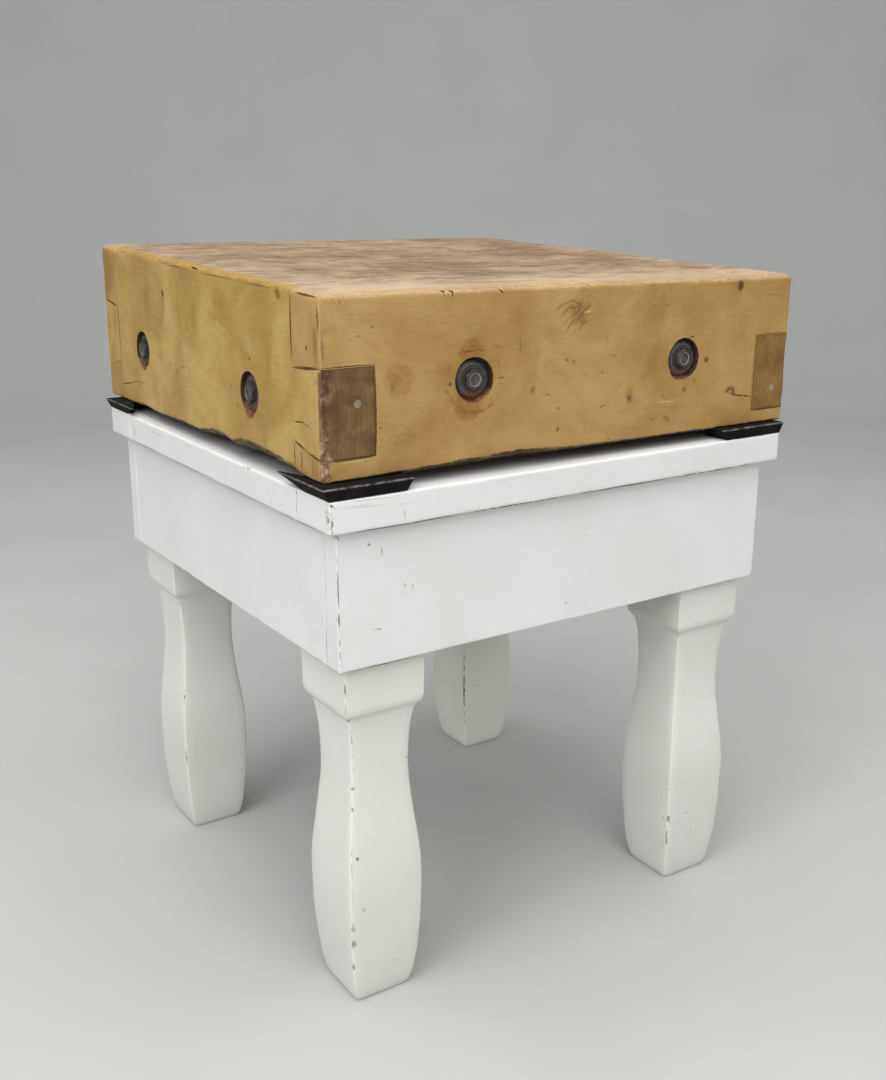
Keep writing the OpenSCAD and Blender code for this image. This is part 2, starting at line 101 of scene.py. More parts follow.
# ------------------------------------------------------------------
# mesh helpers
# ------------------------------------------------------------------
def bm_loft(rings, close=True):
    """Closed solid through rings of equal length."""
    bm = bmesh.new()
    vs = [[bm.verts.new(p) for p in ring] for ring in rings]
    n = len(rings[0])
    for a, b in zip(vs[:-1], vs[1:]):
        for i in range(n):
            j = (i + 1) % n
            bm.faces.new((a[i], a[j], b[j], b[i]))
    bm.faces.new(list(reversed(vs[0])))
    bm.faces.new(vs[-1])
    bmesh.ops.recalc_face_normals(bm, faces=bm.faces[:])
    return bm


def bm_bevel(bm, width, segments=1, angle=20.0, pick=None):
    edges = [e for e in bm.edges if len(e.link_faces) == 2 and e.calc_face_angle(0) > math.radians(angle)
             and (pick is None or pick(e))]
    if edges:
        bmesh.ops.bevel(bm, geom=edges, offset=width, offset_type="OFFSET", segments=segments,
                        profile=0.5, affect="EDGES", clamp_overlap=True)


def bm_slice(bm, cuts):
    """cuts: list of (axis or normal, [offsets]); the longest lists go first."""
    axes = {"x": Vector((1, 0, 0)), "y": Vector((0, 1, 0)), "z": Vector((0, 0, 1))}
    for axis, offs in sorted(cuts, key=lambda c: -len(c[1])):
        if isinstance(axis, str):
            no, base = axes[axis], Vector((0, 0, 0))
        else:
            no, base = Vector(axis[0]).normalized(), Vector(axis[1])
        for o in offs:
            bmesh.ops.bisect_plane(bm, geom=bm.verts[:] + bm.edges[:] + bm.faces[:], dist=1e-4,
                                   plane_co=base + no * o, plane_no=no)


def steps(a, b, cell):
    n = max(1, int(round((b - a) / cell)))
    return [a + (b - a) * i / n for i in range(1, n)]


def near_faces(a, b, offs=(1.2, 2.6, 4.2, 6.2, 9.0, 13.0, 19.0)):
    return [a + o for o in offs if a + o < b] + [b - o for o in offs if b - o > a]


def link(obj):
    bpy.context.scene.collection.objects.link(obj)
    return obj


def drop(obj):
    me = obj.data
    bpy.data.objects.remove(obj)
    if me and me.users == 0:
        bpy.data.meshes.remove(me)


def cut(me, cutters):
    """me less the cutters' meshes; the cut faces keep the cutters' materials."""
    base = link(bpy.data.objects.new("cut_base", me))
    tools = []
    for c in cutters:
        t = link(bpy.data.objects.new("cut_tool", c))
        t.hide_render = True
        tools.append(t)
        m = base.modifiers.new("cut", "BOOLEAN")
        m.operation = "DIFFERENCE"
        m.solver = "EXACT"
        m.material_mode = "TRANSFER"
        m.object = t
    dg = bpy.context.evaluated_depsgraph_get()
    out = bpy.data.meshes.new_from_object(base.evaluated_get(dg))
    for t in tools:
        drop(t)
    drop(base)
    return out


def to_mesh(bm, name="m"):
    me = bpy.data.meshes.new(name)
    bm.to_mesh(me)
    bm.free()
    return me


def coords(me):
    co = np.empty(len(me.vertices) * 3, np.float64)
    me.vertices.foreach_get("co", co)
    return co.reshape(-1, 3)


def set_coords(me, P):
    me.vertices.foreach_set("co", np.ascontiguousarray(P, dtype=np.float32).ravel())
    me.update()


def add_vec(me, name, V):
    a = me.attributes.new(name, "FLOAT_VECTOR", "POINT")
    a.data.foreach_set("vector", np.ascontiguousarray(V, dtype=np.float32).ravel())


def add_val(me, name, v):
    a = me.attributes.new(name, "FLOAT", "POINT")
    a.data.foreach_set("value", np.ascontiguousarray(v, dtype=np.float32).ravel())


def block_world(P):
    c, s = math.cos(TURN), math.sin(TURN)
    out = np.empty_like(P)
    out[:, 0] = BX + c * P[:, 0] - s * P[:, 1]
    out[:, 1] = BY + s * P[:, 0] + c * P[:, 1]
    out[:, 2] = BZ + P[:, 2]
    return out * 0.001


def stand_world(P):
    out = np.array(P, float)
    out[:, 0] += SX
    out[:, 1] += SY
    return out * 0.001


def finish_piece(name, me, body, replaces=None, sharp=32.0, weighted=True):
    obj = link(bpy.data.objects.new(name, me))
    for p in me.polygons:
        p.use_smooth = True
    me.set_sharp_from_angle(angle=math.radians(sharp))
    if weighted:
        w = obj.modifiers.new("normals", "WEIGHTED_NORMAL")
        w.keep_sharp = True
        w.weight = 60
    if replaces:
        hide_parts(*replaces)
    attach(obj, body)
    return obj


# ------------------------------------------------------------------
# node-tree helper
# ------------------------------------------------------------------
def rgb(r, g, b):
    def lin(c):
        c = c / 255.0
        return c / 12.92 if c <= 0.04045 else ((c + 0.055) / 1.055) ** 2.4
    return (lin(r), lin(g), lin(b), 1.0)


class Tree:
    def __init__(self, name):
        self.mat = bpy.data.materials.new(name)
        self.mat.use_nodes = True
        self.t = self.mat.node_tree
        self.t.nodes.clear()
        self.out = self.t.nodes.new("ShaderNodeOutputMaterial")
        self.bsdf = self.t.nodes.new("ShaderNodeBsdfPrincipled")
        self.t.links.new(self.bsdf.outputs[0], self.out.inputs[0])

    def node(self, kind, **props):
        n = self.t.nodes.new(kind)
        for k, v in props.items():
            setattr(n, k, v)
        return n

    def put(self, sock, v):
        if isinstance(v, bpy.types.NodeSocket):
            self.t.links.new(v, sock)
        elif v is not None:
            if hasattr(sock.default_value, "__len__") and not hasattr(v, "__len__"):
                v = [v] * len(sock.default_value)
            if hasattr(sock.default_value, "__len__") and len(sock.default_value) == 3 and len(v) == 4:
                v = v[:3]
            sock.default_value = v

    def attr(self, name, what="Vector"):
        n = self.node("ShaderNodeAttribute", attribute_type="GEOMETRY", attribute_name=name)
        return n.outputs[what]

    def obj(self):
        return self.node("ShaderNodeTexCoord").outputs["Object"]

    def math(self, op, a, b=None, c=None, clamp=False):
        n = self.node("ShaderNodeMath", operation=op, use_clamp=clamp)
        self.put(n.inputs[0], a)
        self.put(n.inputs[1], b)
        self.put(n.inputs[2], c)
        return n.outputs[0]

    def vec(self, op, a, b=None, scale=None):
        n = self.node("ShaderNodeVectorMath", operation=op)
        self.put(n.inputs[0], a)
        self.put(n.inputs[1], b)
        if scale is not None:
            self.put(n.inputs["Scale"], scale)
        return n.outputs["Value"] if op in ("LENGTH", "DOT_PRODUCT", "DISTANCE") else n.outputs["Vector"]

    def xyz(self, v):
        n = self.node("ShaderNodeSeparateXYZ")
        self.put(n.inputs[0], v)
        return n.outputs[0], n.outputs[1], n.outputs[2]

    def join(self, x, y, z):
        n = self.node("ShaderNodeCombineXYZ")
        for s, v in zip(n.inputs, (x, y, z)):
            self.put(s, v)
        return n.outputs[0]

    def noise(self, vec, scale=1.0, detail=3.0, rough=0.55, distort=0.0, stretch=None, shift=None, colour=False):
        if stretch is not None:
            vec = self.vec("MULTIPLY", vec, stretch)
        if shift is not None:
            vec = self.vec("ADD", vec, shift)
        n = self.node("ShaderNodeTexNoise", noise_dimensions="3D")
        self.put(n.inputs["Vector"], vec)
        self.put(n.inputs["Scale"], scale)
        self.put(n.inputs["Detail"], detail)
        self.put(n.inputs["Roughness"], rough)
        self.put(n.inputs["Distortion"], distort)
        return n.outputs["Color" if colour else "Fac"]

    def voronoi(self, vec, scale=1.0, feature="F1", rand=1.0, out="Distance", stretch=None):
        if stretch is not None:
            vec = self.vec("MULTIPLY", vec, stretch)
        n = self.node("ShaderNodeTexVoronoi", feature=feature)
        self.put(n.inputs["Vector"], vec)
        self.put(n.inputs["Scale"], scale)
        self.put(n.inputs["Randomness"], rand)
        return n.outputs[out]

    def map(self, v, a, b, c=0.0, d=1.0, kind="SMOOTHSTEP"):
        n = self.node("ShaderNodeMapRange", interpolation_type=kind, clamp=True)
        self.put(n.inputs["Value"], v)
        self.put(n.inputs["From Min"], a)
        self.put(n.inputs["From Max"], b)
        self.put(n.inputs["To Min"], c)
        self.put(n.inputs["To Max"], d)
        return n.outputs["Result"]

    def mix(self, fac, a, b, blend="MIX"):
        n = self.node("ShaderNodeMix", data_type="RGBA", blend_type=blend)
        self.put(n.inputs[0], fac)
        self.put(n.inputs[6], a)
        self.put(n.inputs[7], b)
        return n.outputs[2]

    def ramp(self, fac, stops, kind="LINEAR"):
        n = self.node("ShaderNodeValToRGB")
        n.color_ramp.interpolation = kind
        while len(n.color_ramp.elements) < len(stops):
            n.color_ramp.elements.new(0.5)
        for e, (p, c) in zip(n.color_ramp.elements, stops):
            e.position = p
            e.color = c
        self.put(n.inputs[0], fac)
        return n.outputs[0]

    def bump(self, height, strength=0.5, distance=0.001, normal=None):
        n = self.node("ShaderNodeBump")
        n.inputs["Strength"].default_value = strength
        n.inputs["Distance"].default_value = distance
        self.put(n.inputs["Height"], height)
        if normal is not None:
            self.put(n.inputs["Normal"], normal)
        return n.outputs[0]

    def mark(self, p, a, b, width, strength=1.0, hard=0.8, deep=14.0):
        """A thin ellipse round the segment a-b, at full strength in its middle and 0 at its rim."""
        a, b = Vector(a), Vector(b)
        d = b - a
        x = d.normalized()
        z = Vector((1, 0, 0)) if abs(a.x - b.x) < 0.01 and abs(abs(a.x) - H) < 0.6 and abs(a.y - b.y) + abs(a.z - b.z) > 0 and abs(abs(a.y) - H) > 0.6 \
            else None
        if z is None:
            flat = abs(a.y)
            z = Vector((0, 1, 0)) if min(abs(flat - H), abs(flat - 286), abs(flat - 300)) < 0.6 else Vector((1, 0, 0))
        if abs(x.dot(z)) > 0.9:
            z = Vector((0, 0, 1))
        y = z.cross(x).normalized()
        z = x.cross(y)
        e = Matrix((x, y, z)).transposed().to_euler("XYZ")
        n = self.node("ShaderNodeTexGradient", gradient_type="SPHERICAL")
        m = n.texture_mapping
        m.vector_type = "TEXTURE"
        m.translation = (a + b) / 2
        m.rotation = e
        m.scale = (d.length * 0.53 + width * 0.8, width, deep)
        self.put(n.inputs[0], p)
        return self.map(n.outputs["Fac"], 0.0, hard, 0.0, strength)

    def mark2(self, p, a, b, width, strength=1.0, hard=0.8):
        """The same in a plane: p, a and b are (u, height)."""
        dx, dy = b[0] - a[0], b[1] - a[1]
        n = self.node("ShaderNodeTexGradient", gradient_type="SPHERICAL")
        m = n.texture_mapping
        m.vector_type = "TEXTURE"
        m.translation = ((a[0] + b[0]) / 2, (a[1] + b[1]) / 2, 0.0)
        m.rotation = (0.0, 0.0, math.atan2(dy, dx))
        m.scale = (math.hypot(dx, dy) * 0.53 + width * 0.8, width, 10.0)
        self.put(n.inputs[0], p)
        return self.map(n.outputs["Fac"], 0.0, hard, 0.0, strength)

    def most(self, vals):
        out = vals[0]
        for v in vals[1:]:
            out = self.math("MAXIMUM", out, v)
        return out


# ------------------------------------------------------------------
# materials of the block
# ------------------------------------------------------------------
def wood_tones(t, bp, along, seed, warm):
    """The honey tan of the side boards: faint grain along the board, soft blotches and fine specks."""
    st = {"x": (0.10, 1.0, 1.0), "y": (1.0, 0.10, 1.0)}[along]
    st2 = {"x": (0.016, 1.0, 1.0), "y": (1.0, 0.016, 1.0)}[along]
    big = t.noise(bp, 0.011, 3.0, 0.55, 0.6, shift=(seed * 31.0, seed * 7.0, 3.0))
    mid = t.noise(bp, 0.035, 4.0, 0.6, 0.3, stretch={"x": (0.5, 1, 1), "y": (1, 0.5, 1)}[along], shift=(seed * 13.0, 5.0, 1.0))
    grain = t.noise(bp, 0.55, 4.0, 0.65, 0.25, stretch=st, shift=(3.0, seed * 3.0, 0.0))
    fine = t.noise(bp, 2.2, 3.0, 0.6, 0.0, stretch=st2, shift=(0.0, seed * 5.0, 2.0))
    lite = rgb(180, 145, 91) if warm else rgb(189, 158, 94)
    base = rgb(168, 132, 77) if warm else rgb(176, 143, 79)
    dark = rgb(153, 116, 61) if warm else rgb(160, 127, 62)
    col = t.ramp(big, [(0.30, dark), (0.46, base), (0.60, lite), (0.74, base)])
    col = t.mix(t.map(mid, 0.46, 0.70, 0.0, 0.24), col, rgb(150, 113, 50))
    col = t.mix(t.map(mid, 0.48, 0.30, 0.0, 0.24), col, rgb(190, 158, 110))
    col = t.mix(t.map(grain, 0.50, 0.74, 0.0, 0.25), col, rgb(126, 93, 47))
    col = t.mix(t.map(grain, 0.47, 0.30, 0.0, 0.18), col, rgb(196, 165, 115))
    col = t.mix(t.map(fine, 0.52, 0.72, 0.0, 0.18), col, rgb(117, 84, 42))
    # small dark specks, a few in clusters
    sp = t.voronoi(bp, 0.085, stretch={"x": (0.7, 1, 1), "y": (1, 0.7, 1)}[along])
    where = t.noise(bp, 0.013, 2.0, 0.5, 0.0, shift=(9.0 + seed, 4.0, 0.0))
    speck = t.math("MULTIPLY", t.map(sp, 0.13, 0.06), t.map(where, 0.48, 0.62))
    col = t.mix(t.math("MULTIPLY", speck, 0.62), col, rgb(88, 58, 28))
    return col, grain, fine, big


def scraped_top(t, bp):
    """The scraped end of the block: greyish tan with wavy darker streaks. Returns colour, streaks and fine streaks."""
    wob = t.noise(bp, 0.016, 3.0, 0.55, 0.0, colour=True)
    q = t.vec("ADD", bp, t.vec("SCALE", t.vec("SUBTRACT", wob, (0.5, 0.5, 0.5)), scale=34.0))
    big = t.noise(bp, 0.0065, 3.0, 0.55, 0.5)
    col = t.ramp(big, [(0.32, rgb(131, 107, 81)), (0.48, rgb(150, 126, 99)), (0.60, rgb(169, 145, 118)), (0.74, rgb(150, 127, 100))])
    s1 = t.noise(q, 0.048, 5.0, 0.60, 0.8, stretch=(0.30, 1.0, 1.0), shift=(4.0, 0.0, 0.0))
    s2 = t.noise(q, 0.17, 4.0, 0.62, 0.5, stretch=(0.26, 1.0, 1.0), shift=(0.0, 7.0, 0.0))
    col = t.mix(t.map(s1, 0.49, 0.66, 0.0, 0.70), col, rgb(108, 84, 62))
    col = t.mix(t.map(s1, 0.47, 0.32, 0.0, 0.50), col, rgb(190, 164, 134))
    col = t.mix(t.map(s2, 0.52, 0.66, 0.0, 0.62), col, rgb(96, 73, 53))
    col = t.mix(t.map(s2, 0.46, 0.34, 0.0, 0.42), col, rgb(196, 170, 140))
    s3 = t.noise(q, 0.30, 3.0, 0.6, 0.4, stretch=(0.07, 1.0, 1.0), shift=(2.0, 11.0, 0.0))
    col = t.mix(t.map(s3, 0.59, 0.68, 0.0, 0.45), col, rgb(88, 66, 50))
    pores = t.noise(bp, 1.6, 2.0, 0.5, 0.0)
    col = t.mix(t.map(pores, 0.56, 0.72, 0.0, 0.22), col, rgb(84, 62, 44))
    x, y, z = t.xyz(bp)
    front = t.math("ADD", y, t.math("MULTIPLY", t.math("SUBTRACT", s1, 0.5), 120.0))
    col = t.mix(t.map(front, -190.0, -292.0, 0.0, 0.42), col, rgb(215, 188, 156))
    return col, s1, s2, q, pores


def crumb_tones(t, bp, n):
    """Rotten wood: brown in its upper half, paler and pinker lumps with dark pits lower down."""
    up = t.ramp(n, [(0.36, rgb(58, 38, 26)), (0.47, rgb(88, 62, 42)), (0.57, rgb(116, 86, 60)), (0.68, rgb(144, 112, 82))])
    down = t.ramp(n, [(0.38, rgb(62, 40, 30)), (0.47, rgb(108, 78, 58)), (0.56, rgb(150, 116, 92)), (0.66, rgb(184, 152, 122))])
    x, y, z = t.xyz(bp)
    return t.mix(t.map(t.math("ADD", z, t.math("MULTIPLY", n, 30.0)), 78.0, 48.0), up, down)


def board_material(name, along, seed, marks=(), cracks=(), warm=True):
    """marks: (a, b, width, strength, colour); cracks: thin dark lines, all in block coordinates in mm."""
    t = Tree(name)
    bp = t.attr("bp")
    col, grain, fine, big = wood_tones(t, bp, along, seed, warm)
    # long faint scratches of no one direction
    wob = t.noise(bp, 0.02, 2.0, 0.5, 0.0, colour=True)
    bent = t.vec("ADD", bp, t.vec("SCALE", t.vec("SUBTRACT", wob, (0.5, 0.5, 0.5)), scale=26.0))
    s1 = t.voronoi(bent, 0.040, feature="DISTANCE_TO_EDGE", stretch=(0.35, 0.35, 1.0))
    s1 = t.math("MULTIPLY", t.map(s1, 0.010, 0.002), t.map(t.noise(bp, 0.03, 2.0, shift=(2, 2, 2)), 0.50, 0.62))
    col = t.mix(t.math("MULTIPLY", s1, 0.20), col, rgb(104, 74, 38))
    # soft stains and rust worked out on the mesh, and grime with painted shade along the worn bottom edge and the
    # underside
    stain = t.attr("stain", "Fac")
    ragged = t.noise(bp, 0.16, 4.0, 0.65, 0.4)
    stain_m = t.map(t.math("ADD", stain, t.math("MULTIPLY", t.math("SUBTRACT", ragged, 0.5), 0.7)), 0.25, 0.95)
    col = t.mix(t.math("MULTIPLY", stain_m, 0.74), col, rgb(110, 71, 28))
    red = t.attr("rust", "Fac")
    red_m = t.map(t.math("ADD", red, t.math("MULTIPLY", t.math("SUBTRACT", ragged, 0.5), 1.0)), 0.25, 1.0)
    col = t.mix(t.math("MULTIPLY", red_m, 0.58), col, rgb(130, 82, 30))
    # painted shade, partly grime: darker along the worn bottom edge and on the underside
    bottom_dirt_and_shade = t.attr("bottom_dirt_and_shade", "Fac")
    bottom_dirt_and_shade_m = t.map(t.math("ADD", bottom_dirt_and_shade, t.math("MULTIPLY", t.math("SUBTRACT", ragged, 0.5), 0.9)), 0.30, 0.85)
    col = t.mix(t.math("MULTIPLY", bottom_dirt_and_shade_m, 0.92), col, rgb(36, 25, 16))
    # the rotten arris at the near corner
    cru = t.attr("crumble", "Fac")
    cn = t.noise(bp, 0.15, 4.0, 0.7, 0.8, shift=(2, 9, 4))
    ccol = crumb_tones(t, bp, cn)
    col = t.mix(t.map(t.math("ADD", cru, t.math("MULTIPLY", t.math("SUBTRACT", cn, 0.5), 1.4)), 0.30, 0.90, 0.0, 0.90), col, ccol)
    # worn arris along the top: paler and pinker, with specks
    arris = t.attr("arris", "Fac")
    band = t.noise(bp, 0.09, 4.0, 0.65, 0.5, stretch={"x": (0.35, 1, 1), "y": (1, 0.35, 1)}[along])
    am = t.map(t.math("ADD", arris, t.math("MULTIPLY", t.math("SUBTRACT", band, 0.5), 1.3)), 0.30, 0.85)
    pale = t.mix(t.map(band, 0.38, 0.60), rgb(184, 158, 116), rgb(172, 142, 112)) if warm else \
        t.mix(t.map(band, 0.38, 0.62), rgb(172, 139, 68), rgb(152, 119, 68))
    col = t.mix(t.math("MULTIPLY", am, 0.80), col, pale)
    dots = t.noise(bp, 0.42, 3.0, 0.7, 0.0, stretch={"x": (0.5, 1, 1), "y": (1, 0.5, 1)}[along], shift=(seed, 2, 5))
    dm = t.math("MULTIPLY", t.map(dots, 0.54, 0.66), t.map(arris, 0.3, 0.8))
    col = t.mix(t.math("MULTIPLY", dm, 0.58), col, rgb(118, 82, 58))
    # the boards' tops are scraped like the core
    topm = t.attr("top", "Fac")
    tcol, ts1, ts2, tq, tpores = scraped_top(t, bp)
    col = t.mix(topm, col, tcol)
    # marks seen on this board
    if marks or cracks:
        jit = t.noise(bp, 0.35, 3.0, 0.6, 0.0, colour=True)
        jp = t.vec("ADD", bp, t.vec("SCALE", t.vec("SUBTRACT", jit, (0.5, 0.5, 0.5)), scale=3.2))
        for c in sorted(set(m[4] for m in marks)):
            col = t.mix(t.most([t.mark(jp, a, b, w, k) for a, b, w, k, cc in marks if cc == c]), col, c)
        if cracks:
            jit2 = t.noise(bp, 0.25, 2.0, 0.5, 0.0, colour=True)
            jp2 = t.vec("ADD", bp, t.vec("SCALE", t.vec("SUBTRACT", jit2, (0.5, 0.5, 0.5)), scale=1.6))
            cm = t.most([t.mark(jp2, a, b, w, 0.88, 0.45) for a, b, w in cracks])
            col = t.mix(cm, col, rgb(45, 29, 17))
    t.put(t.bsdf.inputs["Base Color"], col)
    rough = t.map(t.math("ADD", t.math("MULTIPLY", grain, 0.5), t.math("MULTIPLY", big, 0.5)), 0.3, 0.7, 0.50, 0.72, "LINEAR")
    t.put(t.bsdf.inputs["Roughness"], rough)
    t.bsdf.inputs["Specular IOR Level"].default_value = 0.35
    h = t.math("ADD", t.math("MULTIPLY", grain, 0.6), t.math("MULTIPLY", fine, 0.4))
    h = t.math("SUBTRACT", h, t.math("MULTIPLY", s1, 0.5))
    t.put(t.bsdf.inputs["Normal"], t.bump(h, 0.30, 0.0010))
    return t.mat


def end_grain_material(name, deep, mid, lite, rings, seed, frame_lines=()):
    """The brown end of a dovetail, with curved growth lines."""
    t = Tree(name)
    bp = t.attr("bp")
    wob = t.noise(bp, 0.03, 2.0, 0.5, 0.0, colour=True)
    q = t.vec("ADD", bp, t.vec("SCALE", t.vec("SUBTRACT", wob, (0.5, 0.5, 0.5)), scale=10.0))
    x, y, z = t.xyz(q)
    r = t.math("SQRT", t.math("ADD", t.math("POWER", t.math("SUBTRACT", x, rings[0]), 2.0),
                              t.math("POWER", t.math("MULTIPLY", t.math("SUBTRACT", z, rings[1]), 0.55), 2.0)))
    ring = t.math("SINE", t.math("MULTIPLY", r, 1.25))
    n1 = t.noise(bp, 0.05, 4.0, 0.6, 0.4, shift=(seed, 0, 0))
    n2 = t.noise(bp, 0.9, 3.0, 0.6, 0.0)
    col = t.ramp(n1, [(0.30, deep), (0.50, mid), (0.68, lite)])
    col = t.mix(t.map(ring, 0.1, 1.0, 0.0, 0.16), col, deep)
    col = t.mix(t.map(n2, 0.54, 0.72, 0.0, 0.30), col, rgb(62, 42, 25))
    col = t.mix(t.map(n2, 0.42, 0.30, 0.0, 0.25), col, lite)
    gx, gy, gz = t.xyz(q)
    for axis_, at, wd in frame_lines:
        d_ = t.math("ABSOLUTE", t.math("SUBTRACT", t.xyz(bp)[axis_], t.math("ADD", t.math("MULTIPLY", t.math("SUBTRACT", n1, 0.5), 1.2), at)))
        col = t.mix(t.map(d_, wd, wd * 0.35, 0.0, 0.80), col, rgb(50, 32, 20))
    rough_m = t.attr("crumble", "Fac")
    n3 = t.noise(bp, 0.15, 4.0, 0.7, 0.8, shift=(2, 9, 4))
    cr = crumb_tones(t, bp, n3)
    col = t.mix(t.map(t.math("ADD", rough_m, t.math("MULTIPLY", t.math("SUBTRACT", n3, 0.5), 1.4)), 0.25, 0.90, 0.0, 0.90), col, cr)
    t.put(t.bsdf.inputs["Base Color"], col)
    t.put(t.bsdf.inputs["Roughness"], t.map(n2, 0.3, 0.7, 0.62, 0.82, "LINEAR"))
    t.bsdf.inputs["Specular IOR Level"].default_value = 0.3
    t.put(t.bsdf.inputs["Normal"], t.bump(t.math("ADD", t.math("MULTIPLY", ring, 0.25), n2), 0.45, 0.0010))
    return t.mat


def core_material():
    """Scraped end grain: staves of slightly different tone, growth lines, dark scratches along the front edge."""
    t = Tree("end_grain_core")
    bp = t.attr("bp")
    sv = t.attr("stave")
    cx, cy, rnd = t.xyz(sv)
    col, s1, s2, q, pores = scraped_top(t, bp)
    qx, qy, qz = t.xyz(q)
    r = t.math("SQRT", t.math("ADD", t.math("POWER", t.math("MULTIPLY", t.math("SUBTRACT", qx, cx), 0.55), 2.0),
                              t.math("POWER", t.math("SUBTRACT", qy, cy), 2.0)))
    ring = t.math("SINE", t.math("MULTIPLY", r, 0.95))
    col = t.mix(t.map(rnd, 0.0, 1.0, 0.0, 0.08, "LINEAR"), col, rgb(138, 108, 80))
    col = t.mix(t.map(ring, 0.15, 1.0, 0.0, 0.08), col, rgb(118, 88, 64))
    # knife cuts
    wob2 = t.noise(bp, 0.012, 2.0, 0.5, 0.0, colour=True, shift=(5, 5, 5))
    k = t.vec("ADD", bp, t.vec("SCALE", t.vec("SUBTRACT", wob2, (0.5, 0.5, 0.5)), scale=30.0))
    kc = t.voronoi(k, 0.020, feature="DISTANCE_TO_EDGE", stretch=(0.30, 1.0, 0.2))
    kc2 = t.voronoi(k, 0.026, feature="DISTANCE_TO_EDGE", stretch=(1.0, 0.35, 0.2))
    knife = t.most([t.math("MULTIPLY", t.map(kc, 0.012, 0.002), t.map(t.noise(bp, 0.025, 2.0), 0.46, 0.56)),
                    t.math("MULTIPLY", t.map(kc2, 0.012, 0.002), t.map(t.noise(bp, 0.025, 2.0, shift=(8, 1, 0)), 0.50, 0.60))])
    col = t.mix(t.math("MULTIPLY", knife, 0.28), col, rgb(80, 56, 38))
    bx, by, bz = t.xyz(bp)
    # painted shade, partly grime: the staves darker towards their undersides
    col = t.mix(t.map(bz, 6.0, 1.0, 0.0, 0.75), col, rgb(78, 60, 44))
    joint = t.attr("joint", "Fac")
    col = t.mix(t.map(joint, 0.35, 0.95, 0.0, 0.14), col, rgb(90, 64, 44))
    t.put(t.bsdf.inputs["Base Color"], col)
    t.put(t.bsdf.inputs["Roughness"], t.map(s1, 0.3, 0.7, 0.62, 0.80, "LINEAR"))
    t.bsdf.inputs["Specular IOR Level"].default_value = 0.25
    h = t.math("ADD", t.math("MULTIPLY", s2, -0.5), t.math("MULTIPLY", pores, -0.25))
    h = t.math("SUBTRACT", h, t.math("MULTIPLY", knife, 0.6))
    t.put(t.bsdf.inputs["Normal"], t.bump(h, 0.55, 0.0012))
    return t.mat


def dark_wood_material(name, a, b, crumb=None):
    t = Tree(name)
    p = t.attr("bp")
    n = t.noise(p, 0.25, 4.0, 0.65, 0.3)
    col = t.ramp(n, [(0.35, a), (0.65, b)])
    if crumb is not None:
        low = t.attr("low", "Fac")
        n2 = t.noise(p, 0.42, 3.0, 0.6, 0.4, shift=(3, 1, 0))
        col = t.mix(t.math("MULTIPLY", t.map(low, 0.2, 0.8), t.map(n2, 0.40, 0.58, 0.25, 1.0)), col, crumb)
    t.put(t.bsdf.inputs["Base Color"], col)
    t.put(t.bsdf.inputs["Roughness"], t.map(n, 0.3, 0.7, 0.65, 0.9, "LINEAR"))
    t.bsdf.inputs["Specular IOR Level"].default_value = 0.25
    t.put(t.bsdf.inputs["Normal"], t.bump(n, 0.5, 0.0015))
    return t.mat


DK = rgb(70, 44, 24)
BR = rgb(96, 60, 28)
RD = rgb(126, 72, 40)
LT = rgb(214, 184, 132)


def fm(pts, w, s, c, y=-305.0):
    """Marks on the front face through (x, z) points."""
    return [((a[0], y, a[1]), (b[0], y, b[1]), w, s, c) for a, b in zip(pts[:-1], pts[1:])]


def lm(pts, w, s, c, x=-305.0):
    return [((x, a[0], a[1]), (x, b[0], b[1]), w, s, c) for a, b in zip(pts[:-1], pts[1:])]


